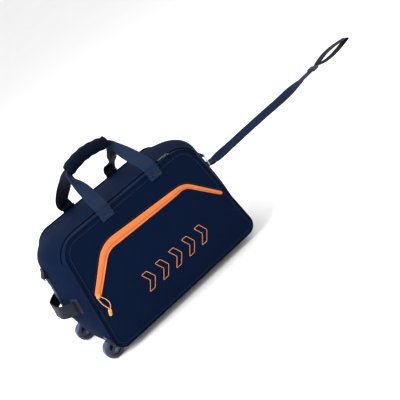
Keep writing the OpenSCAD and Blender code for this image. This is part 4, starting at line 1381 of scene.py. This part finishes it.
pullLine = [(0.304, 0.006, 0.203), (0.320, 0.006, 0.203), (0.340, 0.006, 0.2035), (0.380, 0.006, 0.2045),
            (0.430, 0.006, 0.2065), (0.480, 0.006, 0.208), (0.530, 0.006, 0.209), (0.580, 0.006, 0.2095),
            (0.620, 0.006, 0.211), (0.655, 0.006, 0.213), (0.690, 0.006, 0.2152), (0.706, 0.006, 0.2162),
            (0.722, 0.006, 0.2172), (0.738, 0.006, 0.2182), (0.754, 0.006, 0.2192), (0.766, 0.006, 0.220)]
pullTurns = [70, 40, 15, 0, 0, 0, 0, 5, 25, 60, 90, 90, 90, 90, 90, 90]
pull = {
    "width": 0.025, "thick": 0.0018, "loopThick": 0.0017, "y": 0.006, "loopFrom": (0.7663, 0.006, 0.220),
    "tip": (0.903, 0.006, 0.225), "glide": (0.744, 0.006, 0.2186), "lean": 3.6,
    "bars": (((0.0030, 0.0320, 0.0060), (0.0095, 0, 0), 0.0012, 3),
             ((0.0220, 0.0030, 0.0060), (0, 0.0146, 0), 0.0012, 3),
             ((0.0042, 0.0290, 0.0016), (0, 0, 0.0028), 0.0006, 2)),
}


def edgeWay(degrees):
    # way of the strap's width, turned from upright
    turn = math.radians(degrees)
    return Vector((0, math.sin(turn), math.cos(turn)))


def loopEnd():
    # the sewn end that goes round the ring
    y, foot = pull["y"], rings["foot"]
    arc = [(ringX + tapeBend * math.cos(math.radians(a)), y, foot + tapeBend * math.sin(math.radians(a)))
           for a in range(60, 301, 20)]
    loop = [(0.3060, y, 0.2040), (0.2950, y, 0.2060)] + arc + [(0.2950, y, 0.2008), (0.3060, y, 0.2020)]

    def across(u):
        return edgeWay(mix(90, 72, ease(abs(u - 0.5) * 2)))

    end = strap("strapEndLoop", evenLine(spline(loop, 6), 0.0012), across, lambda u: pull["width"],
                pull["loopThick"], "webbing", 80, 8)
    return settle(end, "strapEndLoop", "pull_strap", "webbing", ["strap_end_loop"])


def slideBuckle():
    lean = Matrix.Translation(Vector(pull["glide"])) @ Matrix.Rotation(-math.radians(pull["lean"]), 4, "Y")
    bars = []
    for size, away, bevel, segments in pull["bars"]:
        for place in (-Vector(away), Vector(away)):
            bars.append(blockPiece(size, lean @ Matrix.Translation(place), bevel, segments))
    return settle(joinPieces(bars), "triGlide", "tri_glide", "black", ["tri_glide"], 50)


def loopForHand():
    start, tip = Vector(pull["loopFrom"]), Vector(pull["tip"])

    def side(s):
        line = []
        for k in range(25):
            t = k / 24
            bulge = 0.0010 + 0.0012 * t + 0.009 * math.sin(math.pi * t ** 0.8)
            line.append(start.lerp(tip, t) + Vector((0, 0, s * bulge)))
        return line

    route = evenLine(side(1) + [tip + Vector((0.0030, 0, 0))] + side(-1)[::-1], 0.002)
    hand = strap("handLoop", route, lambda u: Vector((0, 1, 0)), lambda u: pull["width"], pull["thick"],
                 "darkWebbing", 200, 8)
    return settle(hand, "handLoop", "pull_strap", "darkWebbing", ["hand_loop"])


def layPullStrap():
    route = spline(pullLine, 8)
    turns = [Vector((a, 0)) for a in pullTurns]

    def across(u):
        return edgeWay(pick(turns, u).x)

    def roll(s, t, near, p):
        return 0.0009 * math.sin(t / pull["width"] * math.pi) * noise.noise(Vector((s * 14, 0, 8)))

    main = strap("pullStrap", route, across, lambda u: pull["width"], pull["thick"], "webbing", 220, 8, roll)
    settle(main, "pullStrap", "pull_strap", "webbing", ["pull_strap"])
    end = loopEnd()
    glide = slideBuckle()
    hand = loopForHand()
    length = lineLength(route)
    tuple(pullLine[0])
    [tuple(p) for p in route]
    print("pull strap laid", round(length, 4))


# hard parts keep the frame's own shape
rigidLooks = {
    "wheel_housing_front": "housing", "wheel_housing_back": "housing", "axle_front": "darkMetal",
    "axle_back": "darkMetal", "hub_front": "hub", "hub_back": "hub", "tyre_front": "tyre",
    "tyre_back": "tyre", "housing_screws": "metal", "rest_feet": "black", "foot_screws": "metal",
    "base_board": "board", "end_stiffener": "board", "main_slider": "darkMetal", "main_pull_tab": "darkMetal",
}


def finishRigidParts():
    for node, material in rigidLooks.items():
        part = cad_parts[node]
        part.data.materials.clear()
        part.data.materials.append(look[material])
    print("rigid parts finished")


sewBody()
sewTop()
layMainZip()
sewPocket()
topstitchFaces()
embroiderMotif()
hangPuller()
raiseHandles()
wrapGrip()
sewEnds()
layPullStrap()
finishRigidParts()
